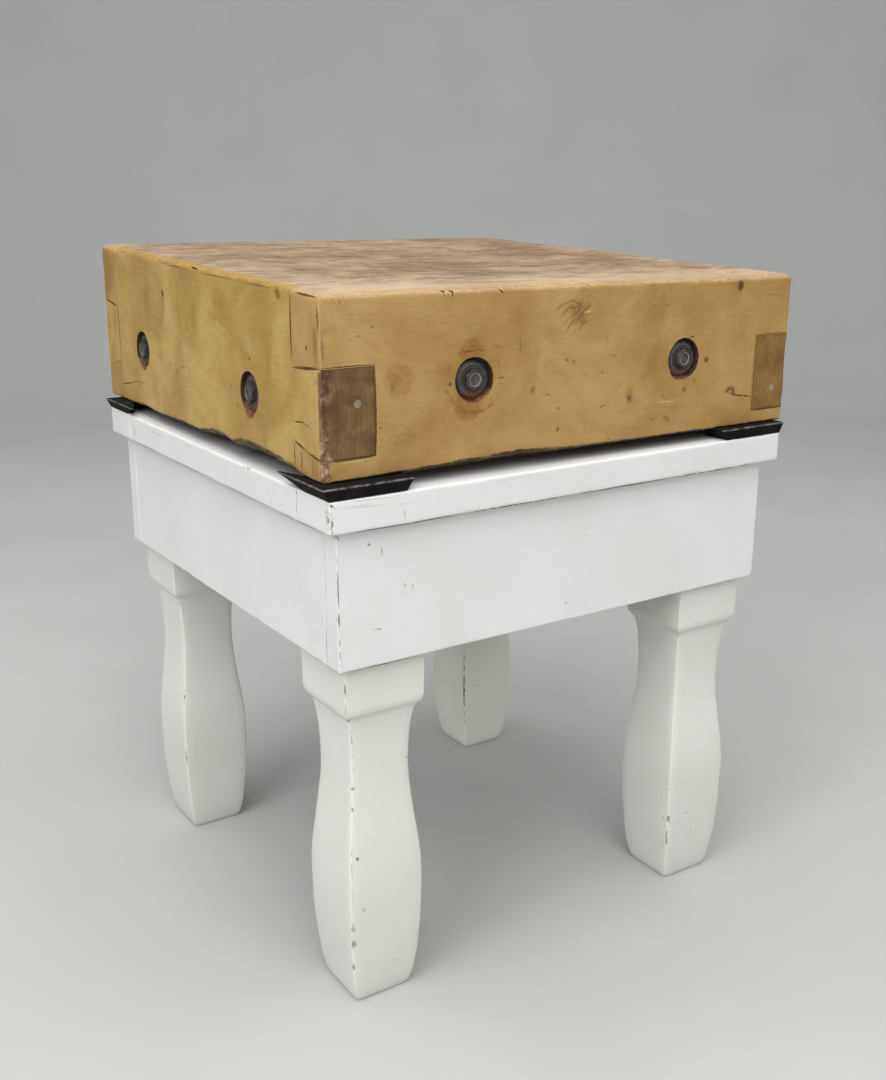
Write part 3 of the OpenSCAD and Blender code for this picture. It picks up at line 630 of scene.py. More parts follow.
front_marks = (
    fm([(223, 163), (223.5, 156)], 6.5, 0.92, rgb(78, 50, 30)) +
    fm([(-38, 145), (-24, 154)], 1.8, 0.50, BR) + fm([(-31, 138), (-12, 155)], 1.8, 0.55, BR) +
    fm([(-23, 123), (-10, 139), (-2, 155)], 2.0, 0.52, BR) + fm([(-13, 130), (8, 151)], 1.8, 0.55, BR) +
    fm([(-7, 120), (3, 139), (7, 157)], 1.7, 0.48, BR) + fm([(-30, 150), (-8, 158)], 1.5, 0.5, BR) +
    fm([(-18, 158), (4, 145), (12, 152)], 1.5, 0.5, BR) + fm([(-4, 128), (6, 133)], 2.0, 0.5, BR) +
    fm([(-20, 146), (-4, 150)], 1.4, 0.5, BR) + fm([(-16, 138), (0, 147)], 1.3, 0.45, BR) + fm([(-26, 130), (-20, 137)], 1.4, 0.4, BR) +
    fm([(2, 158), (10, 160)], 1.3, 0.4, BR) + fm([(-14, 120), (-9, 126)], 1.5, 0.4, BR) +
    fm([(0, 142), (10, 143)], 1.4, 0.75, LT) + fm([(-174, 184), (-171.5, 175)], 1.9, 0.60, BR) + fm([(-164, 184), (-161, 175)], 1.9, 0.60, BR) +
    fm([(-107, 186), (-102.5, 177)], 1.9, 0.65, BR) + fm([(3, 188), (13, 182)], 1.5, 0.55, BR) + fm([(-151, 184), (-148, 177)], 1.5, 0.40, BR) +
    fm([(176, 80), (178, 80)], 4.0, 0.85, DK) + fm([(145, 50), (147, 49)], 4.5, 0.70, BR) +
    fm([(150, 107), (158, 107)], 2.0, 0.75, DK) + fm([(66, 49), (66.5, 45)], 5.5, 0.75, BR) +
    fm([(66, 60), (67, 40)], 9.0, 0.25, BR) +
    fm([(113, 48), (118, 40)], 1.5, 0.60, DK) + fm([(23, 40), (35, 44)], 1.3, 0.60, DK) +
    fm([(105, 39), (137, 38)], 1.3, 0.55, LT) + fm([(115, 24), (127, 15)], 3.2, 0.45, BR) +
    fm([(-30, 22), (-29, 24)], 3.0, 0.7, DK) + fm([(-30, 45), (-29, 46)], 2.4, 0.6, DK) +
    fm([(-22, 95), (-19, 94)], 2.4, 0.65, DK) + fm([(-12, 93), (-10, 92)], 2.2, 0.6, DK) +
    fm([(-164, 82), (-163, 82)], 2.6, 0.9, DK) + fm([(-107, 84), (-98, 83)], 1.4, 0.80, DK) + fm([(-108, 78), (-99, 77)], 1.2, 0.4, BR) +
    fm([(-170, 78), (-164, 70), (-157, 61), (-144, 54), (-131, 51), (-120, 53), (-112, 60)], 2.6, 0.50, rgb(122, 78, 42)) +
    fm([(-150, 113), (-132, 112)], 1.8, 0.65, rgb(98, 62, 32)) + fm([(-156, 108), (-148, 116)], 2.0, 0.5, BR) +
    fm([(-112, 116), (-100, 113)], 1.8, 0.45, BR) +
    fm([(-227, 91), (-222, 93)], 9.0, 0.30, BR) + fm([(-229, 80), (-227, 92)], 5.0, 0.35, BR) +
    fm([(-64, 65), (-62, 70)], 4.5, 0.50, BR) + fm([(-79, 108), (-80, 122)], 2.0, 0.40, BR) +
    fm([(209, 41), (220, 46), (224, 36)], 3.6, 0.75, DK) +
    fm([(158, 62), (164, 55)], 2.0, 0.5, BR) + fm([(99, 20), (104, 22)], 2.0, 0.5, BR) +
    fm([(-48, 62), (-40, 60)], 1.6, 0.5, BR) + fm([(36, 96), (46, 94)], 1.6, 0.4, BR) +
    fm([(260, 150), (300, 143)], 2.0, 0.25, BR) + fm([(-290, 18.0), (-249, 18.2)], 1.3, 0.45, LT) +
    fm([(-222, 177.5), (-219, 178)], 1.8, 0.75, DK) + fm([(-203, 176), (-198, 177)], 1.5, 0.6, DK) +
    fm([(-284, 173), (-282, 164)], 1.6, 0.55, rgb(120, 74, 66)) + fm([(-290, 172), (-289, 166)], 1.4, 0.45, rgb(120, 74, 66))
)
front_cracks = [((a[0], -305.0, a[1]), (b[0], -305.0, b[1]), w) for a, b, w in (
    ((-247.2, 19), (-247.2, 109), 1.7), ((-306, 107.6), (-246, 107.6), 1.25), ((-306, 20.4), (-246, 20.4), 1.0),
    ((251.8, 14), (251.8, 104), 1.0), ((251, 102.6), (306, 102.6), 0.9), ((251, 15.4), (306, 15.4), 1.1),
    ((226, 35.5), (238, 34), 0.7), ((238, 34), (253, 32), 0.8),
    ((264, 32), (280, 27), 0.6),
)]
left_marks = (
    lm([(90, 150), (89, 143)], 4.0, 0.85, DK) + lm([(90, 160), (89, 120)], 5.0, 0.28, BR) +
    lm([(-150, 100), (-149, 99)], 3.0, 0.85, DK) +
    lm([(61, 58), (45, 66), (27, 70)], 3.0, 0.35, BR) + lm([(60, 64), (-20, 63), (-83, 60)], 2.6, 0.30, rgb(196, 160, 100)) +
    lm([(-217, 173), (-224, 166)], 6.0, 0.55, BR) +
    lm([(-2, 182), (-19, 181)], 2.0, 0.8, DK) +
    lm([(-116, 48), (-113, 44)], 3.0, 0.55, rgb(120, 66, 44)) + lm([(-99, 62), (-96, 66)], 2.0, 0.55, DK) +
    lm([(268, 138), (269, 112)], 5.0, 0.50, BR) + lm([(268, 175), (272, 60)], 9.0, 0.18, BR) +
    lm([(100, 88), (62, 152)], 13.0, 0.26, rgb(200, 170, 112)) + lm([(34, 74), (-76, 54)], 11.0, 0.24, rgb(200, 170, 112)) +
    lm([(-128, 150), (-160, 96)], 14.0, 0.20, rgb(200, 170, 112)) + lm([(226, 160), (206, 96)], 12.0, 0.20, rgb(200, 170, 112)) +
    lm([(150, 150), (146, 90)], 10.0, 0.22, rgb(132, 98, 40)) + lm([(0, 150), (-6, 110)], 12.0, 0.18, rgb(132, 98, 40)) +
    lm([(-60, 140), (-64, 120)], 3.0, 0.30, BR) + lm([(20, 120), (18, 110)], 3.0, 0.35, BR) +
    lm([(91, 181.5), (-7, 178.5), (-135, 175), (-217, 173.5)], 1.5, 0.70, rgb(92, 64, 30)) +
    lm([(-190, 120), (-196, 80)], 8.0, 0.22, rgb(132, 98, 40)) + lm([(110, 92), (104, 60)], 9.0, 0.20, rgb(132, 98, 40))
)
left_cracks = [((-305.0, a[0], a[1]), (-305.0, b[0], b[1]), w) for a, b, w in (
    ((-247.0, 106), (-247.0, 176), 1.9), ((-246, 102.2), (-306, 107.4), 1.5), ((-246, 32.8), (-272, 26.6), 1.5),
    ((-272, 26.6), (-306, 20.6), 1.3), ((-247.0, 0), (-247.0, 33), 1.2), ((-266, 27), (-269, 3), 1.4),
    ((-249, 51), (-268, 53), 0.8),
    ((255, 0), (255, 192), 1.2), ((254, 50), (306, 37), 1.1), ((254, 118), (306, 124), 1.1),
    ((268, 17), (215, 27), 0.55),
    ((-252, 174), (-306, 172.5), 1.6),
)]


front_marks += (
    lm([(-279, 125), (-278, 123)], 3.2, 0.80, DK) + lm([(-296, 146), (-298, 111)], 7.5, 0.60, rgb(112, 80, 46)) +
    lm([(-302, 168), (-303.5, 138)], 2.4, 0.75, rgb(70, 44, 34)) + lm([(-289, 170), (-288, 112)], 8.0, 0.18, rgb(130, 98, 50)) +
    lm([(-255, 168), (-254, 116)], 6.0, 0.20, rgb(196, 164, 112)) +
    fm([(-302, 140), (-301, 112)], 3.0, 0.55, rgb(112, 76, 48)) +
    fm([(-151, 110), (-136, 114.5), (-120, 111)], 1.4, 0.55, rgb(92, 60, 32)) + fm([(-146, 117), (-128, 118)], 1.3, 0.45, rgb(104, 70, 36)) +
    fm([(-162, 104), (-166, 92)], 2.2, 0.35, rgb(116, 80, 42)) + fm([(-108, 102), (-104, 92)], 2.4, 0.35, rgb(116, 80, 42)) +
    fm([(-158, 56), (-140, 50), (-122, 54)], 1.8, 0.50, rgb(112, 68, 36))
)
front_cracks += [((-305.0, a[0], a[1]), (-305.0, b[0], b[1]), w) for a, b, w in (
    ((-252, 174), (-304, 172.5), 1.6), ((-247.2, 108), (-247.2, 176), 1.3), ((-247, 103.2), (-304, 108.4), 1.0),
    ((-247, 32.0), (-272, 26.0), 1.2), ((-272, 26.0), (-304, 20.0), 1.0), ((-262, 26), (-262, 4), 1.1), ((-285, 21), (-286, 2), 0.8),
)]


def quiet_marks(seed, face, sign, y_lo=-240.0, y_hi=240.0, count=14):
    """A few marks for a board that the photo doesn't show."""
    rng = np.random.default_rng(seed)
    out = []
    for _ in range(count):
        a, z = rng.uniform(y_lo, y_hi), rng.uniform(20, 160)
        da, dz = rng.uniform(-10, 10), rng.uniform(-6, 6)
        w, s = rng.uniform(1.6, 5.5), rng.uniform(0.35, 0.75)
        c = (DK, BR, RD)[int(rng.integers(0, 3))]
        p, q = ((a, sign * H, z), (a + da, sign * H, z + dz)) if face == "x" else ((sign * H, a, z), (sign * H, a + da, z + dz))
        out.append((p, q, w, s, c))
    return out


def joint_lines(face, sign, tails):
    """Thin dark joint lines round dovetails: tails is a list of (root, tip, (low, high) at the root, (low, high) at the tip)."""
    out = []
    for root, tip, r, o in tails:
        def P(a, z):
            return (a, sign * H, z) if face == "x" else (sign * H, a, z)
        out += [(P(root, r[0]), P(tip, o[0]), 1.1), (P(root, r[1]), P(tip, o[1]), 1.1), (P(root, r[0]), P(root, r[1]), 1.2)]
    return out


MAT = {}
MAT["front"] = board_material("front_board_wood", "x", 1, front_marks, front_cracks, warm=True)
MAT["left"] = board_material("left_board_wood", "y", 2, left_marks, left_cracks, warm=False)
MAT["back"] = board_material("back_board_wood", "x", 3, quiet_marks(5, "x", 1.0),
                             joint_lines("x", 1.0, [(-247, -305, (37.5, 124.5), (37.5, 124.5)), (252, 305, (32.5, 119.5), (32.5, 119.5))]), warm=True)
MAT["right"] = board_material("right_board_wood", "y", 4, quiet_marks(6, "y", 1.0),
                              joint_lines("y", 1.0, [(-247, -305, (28, 97), (15.5, 102.5)), (255, 305, (45, 114), (32.5, 119.5))]) +
                              [((305.0, -247.0, 0.0), (305.0, -247.0, 175.0), 1.1), ((305.0, 255.0, 0.0), (305.0, 255.0, 185.0), 1.1)], warm=False)
MAT["tail_near"] = end_grain_material("tail_end_brown", rgb(88, 60, 34), rgb(110, 80, 47), rgb(128, 97, 61), (-340.0, 60.0), 1.0, ((0, -247.6, 1.5), (2, 21.2, 1.2), (2, 106.9, 1.2)))
MAT["tail_right"] = end_grain_material("tail_end_orange", rgb(114, 82, 40), rgb(132, 98, 51), rgb(146, 112, 63), (355.0, 70.0), 4.0, ((0, 252.6, 1.1), (2, 16.2, 1.0), (2, 101.9, 1.0)))
MAT["crack"] = dark_wood_material("split_dark", rgb(34, 21, 12), rgb(66, 42, 24))
MAT["recess"] = dark_wood_material("recess_dark", rgb(44, 31, 23), rgb(74, 52, 36), rgb(142, 92, 62))
MAT["core"] = core_material()


# ------------------------------------------------------------------
# block: wear of the whole shape, in block coordinates
# ------------------------------------------------------------------
FRONT_LOW = np.array([(-305, 0.3), (-281, 0.7), (-221, 1.8), (-164, 3.2), (-148, 4.8), (-128, 4.2), (-109, 5.8), (-78, 6.4), (-26, 3.2),
                      (28, 2.0), (99, 1.2), (158, 1.5), (213, 0.5), (245, 0.5), (305, 0.8)], float)
LEFT_LOW = np.array([(-305, 0.0), (-258, 0.8), (-241, 6.2), (-225, 8.0), (-181, 10.4), (-147, 11.4), (-119, 11.2), (-95, 5.4), (-57, 9.6),
                     (-31, 7.2), (-4, 2.2), (57, 3.2), (123, 0.8), (176, 3.0), (230, 0.6), (305, 0.5)], float)


def low_raise(x, y, nx, ny):
    """How far the bottom edge is worn up, by place round the block."""
    f = np.interp(x, FRONT_LOW[:, 0], FRONT_LOW[:, 1])
    l = np.interp(y, LEFT_LOW[:, 0], LEFT_LOW[:, 1])
    q = np.stack([x, y, 0 * x], -1)
    other = 2.0 + 2.5 * np.clip(fbm(q, 70.0, 41), 0, 1)
    return np.where(ny < -0.7, f, np.where(nx < -0.7, l, other))


def outline(x, y, rv):
    """Distance inside the block's rounded plan, and the outward direction."""
    qx, qy = np.abs(x) - (H - rv), np.abs(y) - (H - rv)
    both = (qx > 0) & (qy > 0)
    hyp = np.hypot(np.maximum(qx, 0), np.maximum(qy, 0))
    d = hyp + np.minimum(np.maximum(qx, qy), 0) - rv
    nx = np.where(both, qx / np.maximum(hyp, 1e-9), np.where(qx > qy, 1.0, 0.0)) * np.sign(x)
    ny = np.where(both, qy / np.maximum(hyp, 1e-9), np.where(qx > qy, 0.0, 1.0)) * np.sign(y)
    return -d, nx, ny


def crumble_mask(P):
    """The rotten arris at the near corner, on the lower dovetail."""
    x, y, z = P[:, 0], P[:, 1], P[:, 2]
    q = np.stack([0 * x, 0 * y, z], -1)
    reach = 11 + 7 * noise3(q, 24.0, 5) + 2.5 * noise3(q, 8.0, 6)
    m = smooth(reach + 4, reach * 0.35, (x + 305)) * smooth(10, 2, (y + 305))
    return m * smooth(-8, 3, z) * smooth(113, 100, z)


def wear_block(P, is_core=False, stave_lift=None):
    x, y, z = P[:, 0].copy(), P[:, 1].copy(), P[:, 2].copy()
    zt = ztop(x, y)
    q0 = np.stack([0 * x + np.sign(x) * 500, np.sign(y) * 500 + 0 * y, z], -1)
    rv = 3.6 + 1.6 * noise3(q0, 28.0, 11) + 0.9 * noise3(q0, 9.0, 12)
    # plan corners
    ax, ay = np.maximum(0, rv - (H - np.abs(x))), np.maximum(0, rv - (H - np.abs(y)))
    f = np.maximum(ax, ay) / np.maximum(np.hypot(ax, ay), 1e-9)
    x = np.where(ax > 0, np.sign(x) * (H - rv + ax * f), x)
    y = np.where(ay > 0, np.sign(y) * (H - rv + ay * f), y)
    s, nx, ny = outline(x, y, rv)
    s = np.maximum(s, 0)
    ox, oy = x + nx * s, y + ny * s
    qo = np.stack([ox, oy, 0 * ox], -1)
    # top arris
    n1, n2 = fbm(qo, 55.0, 21, 3), noise3(qo, 11.0, 22)
    rd = np.clip(6.6 + 1.9 * n1 + 0.9 * n2, 3.6, 10.0)
    rs = np.clip(11.5 + 4.0 * n1 + 1.2 * n2, 6.0, 18.0)
    bl = smooth(150, 300, oy) * smooth(-240, -305, ox)            # more worn at the back left
    rd = rd + 3.0 * bl
    dt = np.maximum(zt - z, 0)
    a, b = np.maximum(0, 1 - s / rs), np.maximum(0, 1 - dt / rd)
    f = np.maximum(a, b) / np.maximum(np.hypot(a, b), 1e-9)
    on = (a > 0) & (b > 0)
    s2 = np.where(on, rs * (1 - a * f), s)
    dt2 = np.where(on, rd * (1 - b * f), dt)
    # bottom arris
    rise = low_raise(ox, oy, nx, ny) * (1 + 0.30 * noise3(qo, 11.0, 31)) + 1.1 + 1.1 * noise3(qo, 5.5, 32) + 1.6 * np.clip(noise3(qo, 16.0, 33) - 0.35, 0, 1)
    bd, bs = np.maximum(1.2, rise * 1.30), np.maximum(1.2, rise * 1.7)
    a, b = np.maximum(0, 1 - s / bs), np.maximum(0, 1 - z / bd)
    f = np.maximum(a, b) / np.maximum(np.hypot(a, b), 1e-9)
    on2 = (a > 0) & (b > 0)
    s2 = np.where(on2, bs * (1 - a * f), s2)
    z2 = np.where(on2, bd * (1 - b * f), zt - dt2)
    x, y = x + nx * (s - s2), y + ny * (s - s2)
    # faces are not quite flat
    p = np.stack([ox * (np.abs(nx) < 0.7), oy * (np.abs(ny) < 0.7), z], -1) + np.stack([np.sign(nx) * 900, np.sign(ny) * 900, 0 * z], -1) * 1.0
    skin = smooth(16, 0, s)
    dent = 0.35 + 0.35 * fbm(p, 90.0, 51, 2) + 0.14 * noise3(p, 17.0, 52) + 0.8 * np.clip(noise3(p, 26.0, 53) - 0.62, 0, 1)
    x, y = x - nx * skin * dent, y - ny * skin * dent
    # crumbling arris
    cm = crumble_mask(P)
    pit = np.clip(0.45 + 0.9 * fbm(P, 12.0, 61, 3), 0, 1.2)
    x = x + cm * pit * 3.0 * (P[:, 0] < 0)
    y = y + cm * pit * 4.2 * (P[:, 1] < 0)
    # hollow and scraped top
    w = smooth(45, 4, zt - z2)
    rr = np.hypot(x, y)
    sc = fbm(np.stack([x * 0.16, y, 0 * y], -1), 15.0, 71, 3)
    hollow = 2.4 * np.clip(1 - (rr / 236.0) ** 2, 0, 1) + 0.35 + 0.45 * fbm(np.stack([x, y, 0 * y], -1), 85.0, 72, 2) + 0.28 * sc
    z2 = z2 - w * hollow
    if stave_lift is not None:
        z2 = z2 + w * stave_lift
    # notches worn in the top arris
    for cxn, cyn, r, dep in ARRIS_DENTS:
        d = np.hypot(x - cxn, y - cyn)
        z2 = z2 - w * dep * smooth(r, r * 0.25, d)
    return np.stack([x, y, np.maximum(z2, 0.0)], -1)


ARRIS_DENTS = [(-172, -303, 4, 1.6), (-162, -303, 4, 1.6), (-104, -302, 4, 1.7), (-146, -302, 4, 1.2), (-130, -303, 6, 0.9),
               (7, -301, 5, 1.6), (-10, -303, 6, 1.0), (60, -304, 5, 0.8), (-232, -300, 4, 0.9), (-303, 60, 8, 1.0), (-303, -40, 7, 1.2),
               (-303, -120, 9, 0.9), (-302, 150, 6, 1.0), (303, -80, 8, 1.0), (303, 120, 9, 1.2), (40, 303, 8, 1.0), (-150, 303, 7, 1.2),
               (120, -301, 6, 0.7), (185, -302, 5, 0.8), (-60, -303, 7, 0.7), (250, -303, 8, 0.7)]

BOLTS = [("y", -1, -135.0, 84.0), ("y", -1, 142.5, 84.0), ("y", 1, -135.0, 84.0), ("y", 1, 142.5, 84.0),
         ("x", -1, -145.0, 63.5), ("x", -1, 170.0, 72.5), ("x", 1, -145.0, 63.5), ("x", 1, 170.0, 72.5)]


def bolt_axes(face, sign):
    return [(a, z) for f, s, a, z in BOLTS if f == face and s == sign]


RIM_BITES = {   # angle, half width, depth in from the rim, how far down the recess it runs
    ("front", -135.0): [(-1.60, 0.50, 0.7, 6.0), (-0.55, 0.30, 0.8, 4.0), (2.6, 0.2, 0.5, 2.0)],
    ("front", 142.5): [(-2.25, 0.32, 2.6, 5.0), (-1.85, 0.26, 2.2, 5.0), (-1.45, 0.20, 1.6, 4.0), (0.05, 0.18, 0.9, 3.0)],
    ("left", -145.0): [(-1.75, 0.38, 3.2, 5.5), (-1.35, 0.30, 2.4, 5.5), (-0.9, 0.2, 0.8, 3.0)],
    ("left", 170.0): [(-1.65, 0.34, 2.6, 5.5), (-1.25, 0.24, 1.8, 4.0), (-2.3, 0.2, 1.0, 3.0)],
}


def recess_cutter(kind, face, sign, a, z, seed):
    """A hand-bored recess: slightly uneven, with a worn rim."""
    rng = np.random.default_rng(seed)
    n = 96
    rings = []
    ph = rng.uniform(0, 6.28, 6)
    bites = RIM_BITES.get((kind, a)) or [(t0, 0.22, 1.2, 4.0) for t0 in rng.uniform(-2.6, -0.5, 3)]
    for depth, flare in ((-3.0, 1.0), (0.3, 0.8), (1.2, 0.25), (2.4, 0.06), (4.2, 0.0), (6.45, 0.0)):
        ring = []
        for i in range(n):
            th = 2 * math.pi * i / n
            r = 21.7 + 0.16 * math.sin(3 * th + ph[0]) + 0.12 * math.sin(5 * th + ph[1]) + flare
            r += 0.12 * math.sin(17 * th + ph[2] + depth) + 0.10 * math.sin(29 * th + ph[3])
            for b0, bw, bd, run in bites:
                d = abs((th - b0 + math.pi) % (2 * math.pi) - math.pi)
                near = max(0.0, 1 - max(depth, 0.0) / run)
                r += near * bd * max(0.0, 1 - (d / bw) ** 2) * (0.8 + 0.2 * math.sin(41 * th))
            u, v = r * math.cos(th), r * math.sin(th)
            out = sign * (H - depth)
            ring.append((a + u, out, z + v) if face == "y" else (out, a + u, z + v))
        rings.append(ring)
    me = to_mesh(bm_loft(rings))
    me.materials.append(MAT["recess"])
    return me


NAILS = {"left": [(-266.0, -1, 72.5), (-280.0, 1, 66.0)], "right": [(284.0, -1, 40.0), (272.0, 1, 60.0)]}


def nail_pocket(x, sgn, z):
    rings = []
    for out in (H + 3.0, H - 2.2):
        rings.append([(x + 4.2 * math.cos(t0), sgn * out, z + 4.2 * math.sin(t0)) for t0 in np.linspace(0, 2 * math.pi, 28, endpoint=False)])
    me = to_mesh(bm_loft(rings))
    me.materials.append(MAT["crack"])
    return me


def wedge_cutter(face, sign, pts, width, depth, seed=0):
    """A ragged V cut along points on a face, as (along, height)."""
    rng = np.random.default_rng(seed)
    fine = []
    for (a0, z0), (a1, z1) in zip(pts[:-1], pts[1:]):
        n = max(1, int(math.hypot(a1 - a0, z1 - z0) / 4.0))
        for i in range(n):
            u = i / n
            fine.append((a0 + (a1 - a0) * u, z0 + (z1 - z0) * u))
    fine.append(pts[-1])
    rings = []
    m = len(fine)
    for i, (a, z) in enumerate(fine):
        a0, z0 = fine[max(0, i - 1)]
        a1, z1 = fine[min(m - 1, i + 1)]
        tx, tz = a1 - a0, z1 - z0
        L = math.hypot(tx, tz) or 1.0
        nx, nz = -tz / L, tx / L
        u = i / (m - 1)
        w = width * (0.35 + 0.65 * math.sin(math.pi * (0.06 + 0.88 * u))) * rng.uniform(0.75, 1.25) * 0.5
        j = rng.uniform(-0.35, 0.35)
        a, z = a + nx * j, z + nz * j
        d = depth * (0.5 + 0.5 * math.sin(math.pi * (0.06 + 0.88 * u)))
        def P(off, dep):
            aa, zz, oo = a + nx * off, z + nz * off, sign * (H - dep)
            return (aa, oo, zz) if face == "y" else (oo, aa, zz)
        rings.append([P(-w * 1.6, -1.5), P(w * 1.6, -1.5), P(w, 0.3), P(w * 0.3, d), P(-w * 0.3, d), P(-w, 0.3)])
    me = to_mesh(bm_loft(rings))
    me.materials.append(MAT["crack"])
    return me


def board_mesh(kind):
    """A side board with its dovetails or sockets, in block coordinates."""
    g = 0.08
    if kind in ("front", "back"):
        s = -1 if kind == "front" else 1
        lift = 0.0 if s < 0 else 17.0
        inner = F_IN if s < 0 else B_IN

        def ring(y, t):
            # t: 0 at the outer face, 1 at the inner face
            ll, lh = 20.5 + 12.5 * t + lift, 107.5 - 5.5 * t + lift
            rl, rh = ll - 5.0, lh - 5.0
            pts = [(-H, 0), (H, 0), (H, rl - g), (R_IN - g, rl - g), (R_IN - g, rh + g), (H, rh + g), (H, None), (-H, None),
                   (-H, lh + g), (L_IN + g, lh + g), (L_IN + g, ll - g), (-H, ll - g)]
            return [(px, y, ztop(px, y) if pz is None else pz) for px, pz in pts]
        bm = bm_loft([ring(s * H, 0.0), ring(inner - g * (1 if s < 0 else -1), 1.0)])
    else:
        s = -1 if kind == "left" else 1
        inner = L_IN if s < 0 else R_IN
        dz = 0.0 if s < 0 else -5.0

        def ring(x):
            f = lambda y, z: (x, y, ztop(x, y) if z is None else z)
            return [f(F_IN + g, 0), f(B_IN - g, 0), f(B_IN - g, 33.0 + 17 + dz + g), f(H, 20.5 + 17 + dz + g), f(H, 107.5 + 17 + dz - g),
                    f(B_IN - g, 102.0 + 17 + dz - g), f(B_IN - g, None), f(F_IN + g, None), f(F_IN + g, 102.0 + dz - g), f(-H, 107.5 + dz - g),
                    f(-H, 20.5 + dz + g), f(F_IN + g, 33.0 + dz + g)]
        bm = bm_loft([ring(s * H), ring(inner - g * (1 if s < 0 else -1))])
    bm_bevel(bm, 0.55, 1)
    me = to_mesh(bm)
    me.materials.append(MAT[kind])
    face = "y" if kind in ("front", "back") else "x"
    cutters = [recess_cutter(kind, face, s, a, z, 7 * i + ord(kind[0])) for i, (a, z) in enumerate(bolt_axes(face, s))]
    cutters += [nail_pocket(*n) for n in NAILS.get(kind, ())]
    # bores for the rods
    for i, (a, z) in enumerate(bolt_axes(face, s)):
        rings = []
        for out in (s * (H + 2), (inner - s * 3)):
            rings.append([((a + 5.3 * math.cos(t), out, z + 5.3 * math.sin(t)) if face == "y" else (out, a + 5.3 * math.cos(t), z + 5.3 * math.sin(t)))
                          for t in np.linspace(0, 2 * math.pi, 24, endpoint=False)])
        b = to_mesh(bm_loft(rings))
        b.materials.append(MAT["recess"])
        cutters.append(b)
    for spec in CUTS.get(kind, ()):
        cutters.append(wedge_cutter(face, s, *spec))
    me = cut(me, cutters)
    bm = bmesh.new()
    bm.from_mesh(me)
    bmesh.ops.triangulate(bm, faces=[f for f in bm.faces if len(f.verts) > 4])
    # slices: along the board, up its height and through its thickness
    cell = 5.0
    along = steps(-H, H, cell)
    for c in (-H, H):
        along += [c - math.copysign(o, c) for o in (1.5, 3.2, 5.2, 7.6, 12.5)]
    tn = Vector((-SLOPE_X, -SLOPE_Y, 1)).normalized()
    top = ((tuple(tn)), (0, 0, TOP))
    low = [1.5, 3.0, 4.8, 6.8, 9.0, 11.5, 14.5, 18.0]
    up = low + steps(22.0, 168.0, cell) + [22.0]
    thick = [s * (H - o) for o in (1.5, 3.2, 5.5, 8.0, 11.5, 16.0, 22.5, 31.0, 42.0)]
    tops = [-o for o in (1.2, 2.6, 4.2, 6.2, 8.6, 12.0)]
    if face == "y":
        bm_slice(bm, [("x", along), ("z", up), ("y", thick), (top, tops)])
    else:
        bm_slice(bm, [("y", along), ("z", up), ("x", thick), (top, tops)])
    me2 = bpy.data.meshes.new(kind + "_side_board_worn")
    bm.to_mesh(me2)
    bm.free()
    for m in me.materials:
        me2.materials.append(m)
    bpy.data.meshes.remove(me)
    return me2, s, face


# splits and knife cuts made as real cuts: points, width, depth, seed
CUTS = {
    "front": [([(-175, 178), (-170, 172.5), (-171, 168)], 1.5, 1.8, 1), ([(-165, 178), (-160, 172.5), (-161, 167)], 1.5, 1.8, 2),
              ([(-109, 178), (-104.5, 172.5), (-102, 167)], 1.7, 2.0, 4), ([(-2, 178), (6, 173.5), (10, 169)], 1.5, 1.8, 5),
              ([(214, 40), (222, 37), (238, 34.5), (251, 32.5)], 0.8, 1.3, 6)],
    "left": [([(-249, 51), (-266, 53), (-281, 50)], 0.7, 1.2, 11),
             ([(270, 17), (235, 22), (205, 29), (170, 31)], 0.5, 0.9, 13), ([(2, 184), (-8, 181.5), (-19, 181)], 1.4, 1.4, 14)],
    "right": [([(-60, 60), (-10, 62), (50, 58)], 0.9, 1.4, 21), ([(120, 140), (160, 141)], 0.9, 1.2, 22)],
    "back": [([(-20, 120), (40, 122), (90, 119)], 0.9, 1.4, 31), ([(180, 50), (230, 48)], 1.0, 1.2, 32)],
}

# soft brown stains on each face: (along, height, radius, strength)
STAINS = {
    "front": [(-135, 84, 34, 0.55), (142.5, 84, 31, 0.40), (-138, 113, 24, 0.26), (-170, 96, 22, 0.32), (-222, 90, 26, 0.14), (-98, 72, 20, 0.30),
              (66, 50, 12, 0.5), (150, 56, 15, 0.5), (176, 80, 10, 0.6), (222, 41, 14, 0.5), (-6, 142, 26, 0.62), (-64, 66, 12, 0.4),
              (-264, 120, 18, 0.25), (20, 20, 22, 0.22), (255, 110, 24, 0.28), (110, 150, 30, 0.25), (-75, 112, 16, 0.3), (225, 160, 9, 0.8),
              (232, 158, 30, 0.25), (-300, 140, 10, 0.45), (120, 20, 12, 0.4), (-30, 24, 9, 0.5), (140, 104, 24, 0.35), (-246, 64, 10, 0.4)],
    "left": [(-145, 63.5, 27, 0.30), (170, 72.5, 25, 0.30), (90, 146, 9, 0.7), (90, 120, 12, 0.25), (150, 150, 30, 0.30), (20, 150, 30, 0.28),
             (-80, 130, 34, 0.22), (-220, 170, 13, 0.6), (-300, 130, 13, 0.8), (-296, 96, 9, 0.5), (268, 130, 12, 0.5), (60, 60, 22, 0.35), (20, 66, 18, 0.3),
             (-150, 100, 5, 0.5), (-190, 60, 26, 0.2), (250, 40, 14, 0.3), (-100, 40, 30, 0.2), (210, 160, 20, 0.3)],
    "back": [(-135, 84, 32, 0.5), (142.5, 84, 30, 0.5), (0, 120, 34, 0.3), (-220, 60, 22, 0.4), (210, 140, 26, 0.3), (60, 40, 18, 0.4)],
    "right": [(-145, 63.5, 30, 0.45), (170, 72.5, 28, 0.45), (40, 130, 30, 0.3), (-60, 50, 20, 0.35), (230, 50, 22, 0.35), (-230, 120, 18, 0.3)],
}
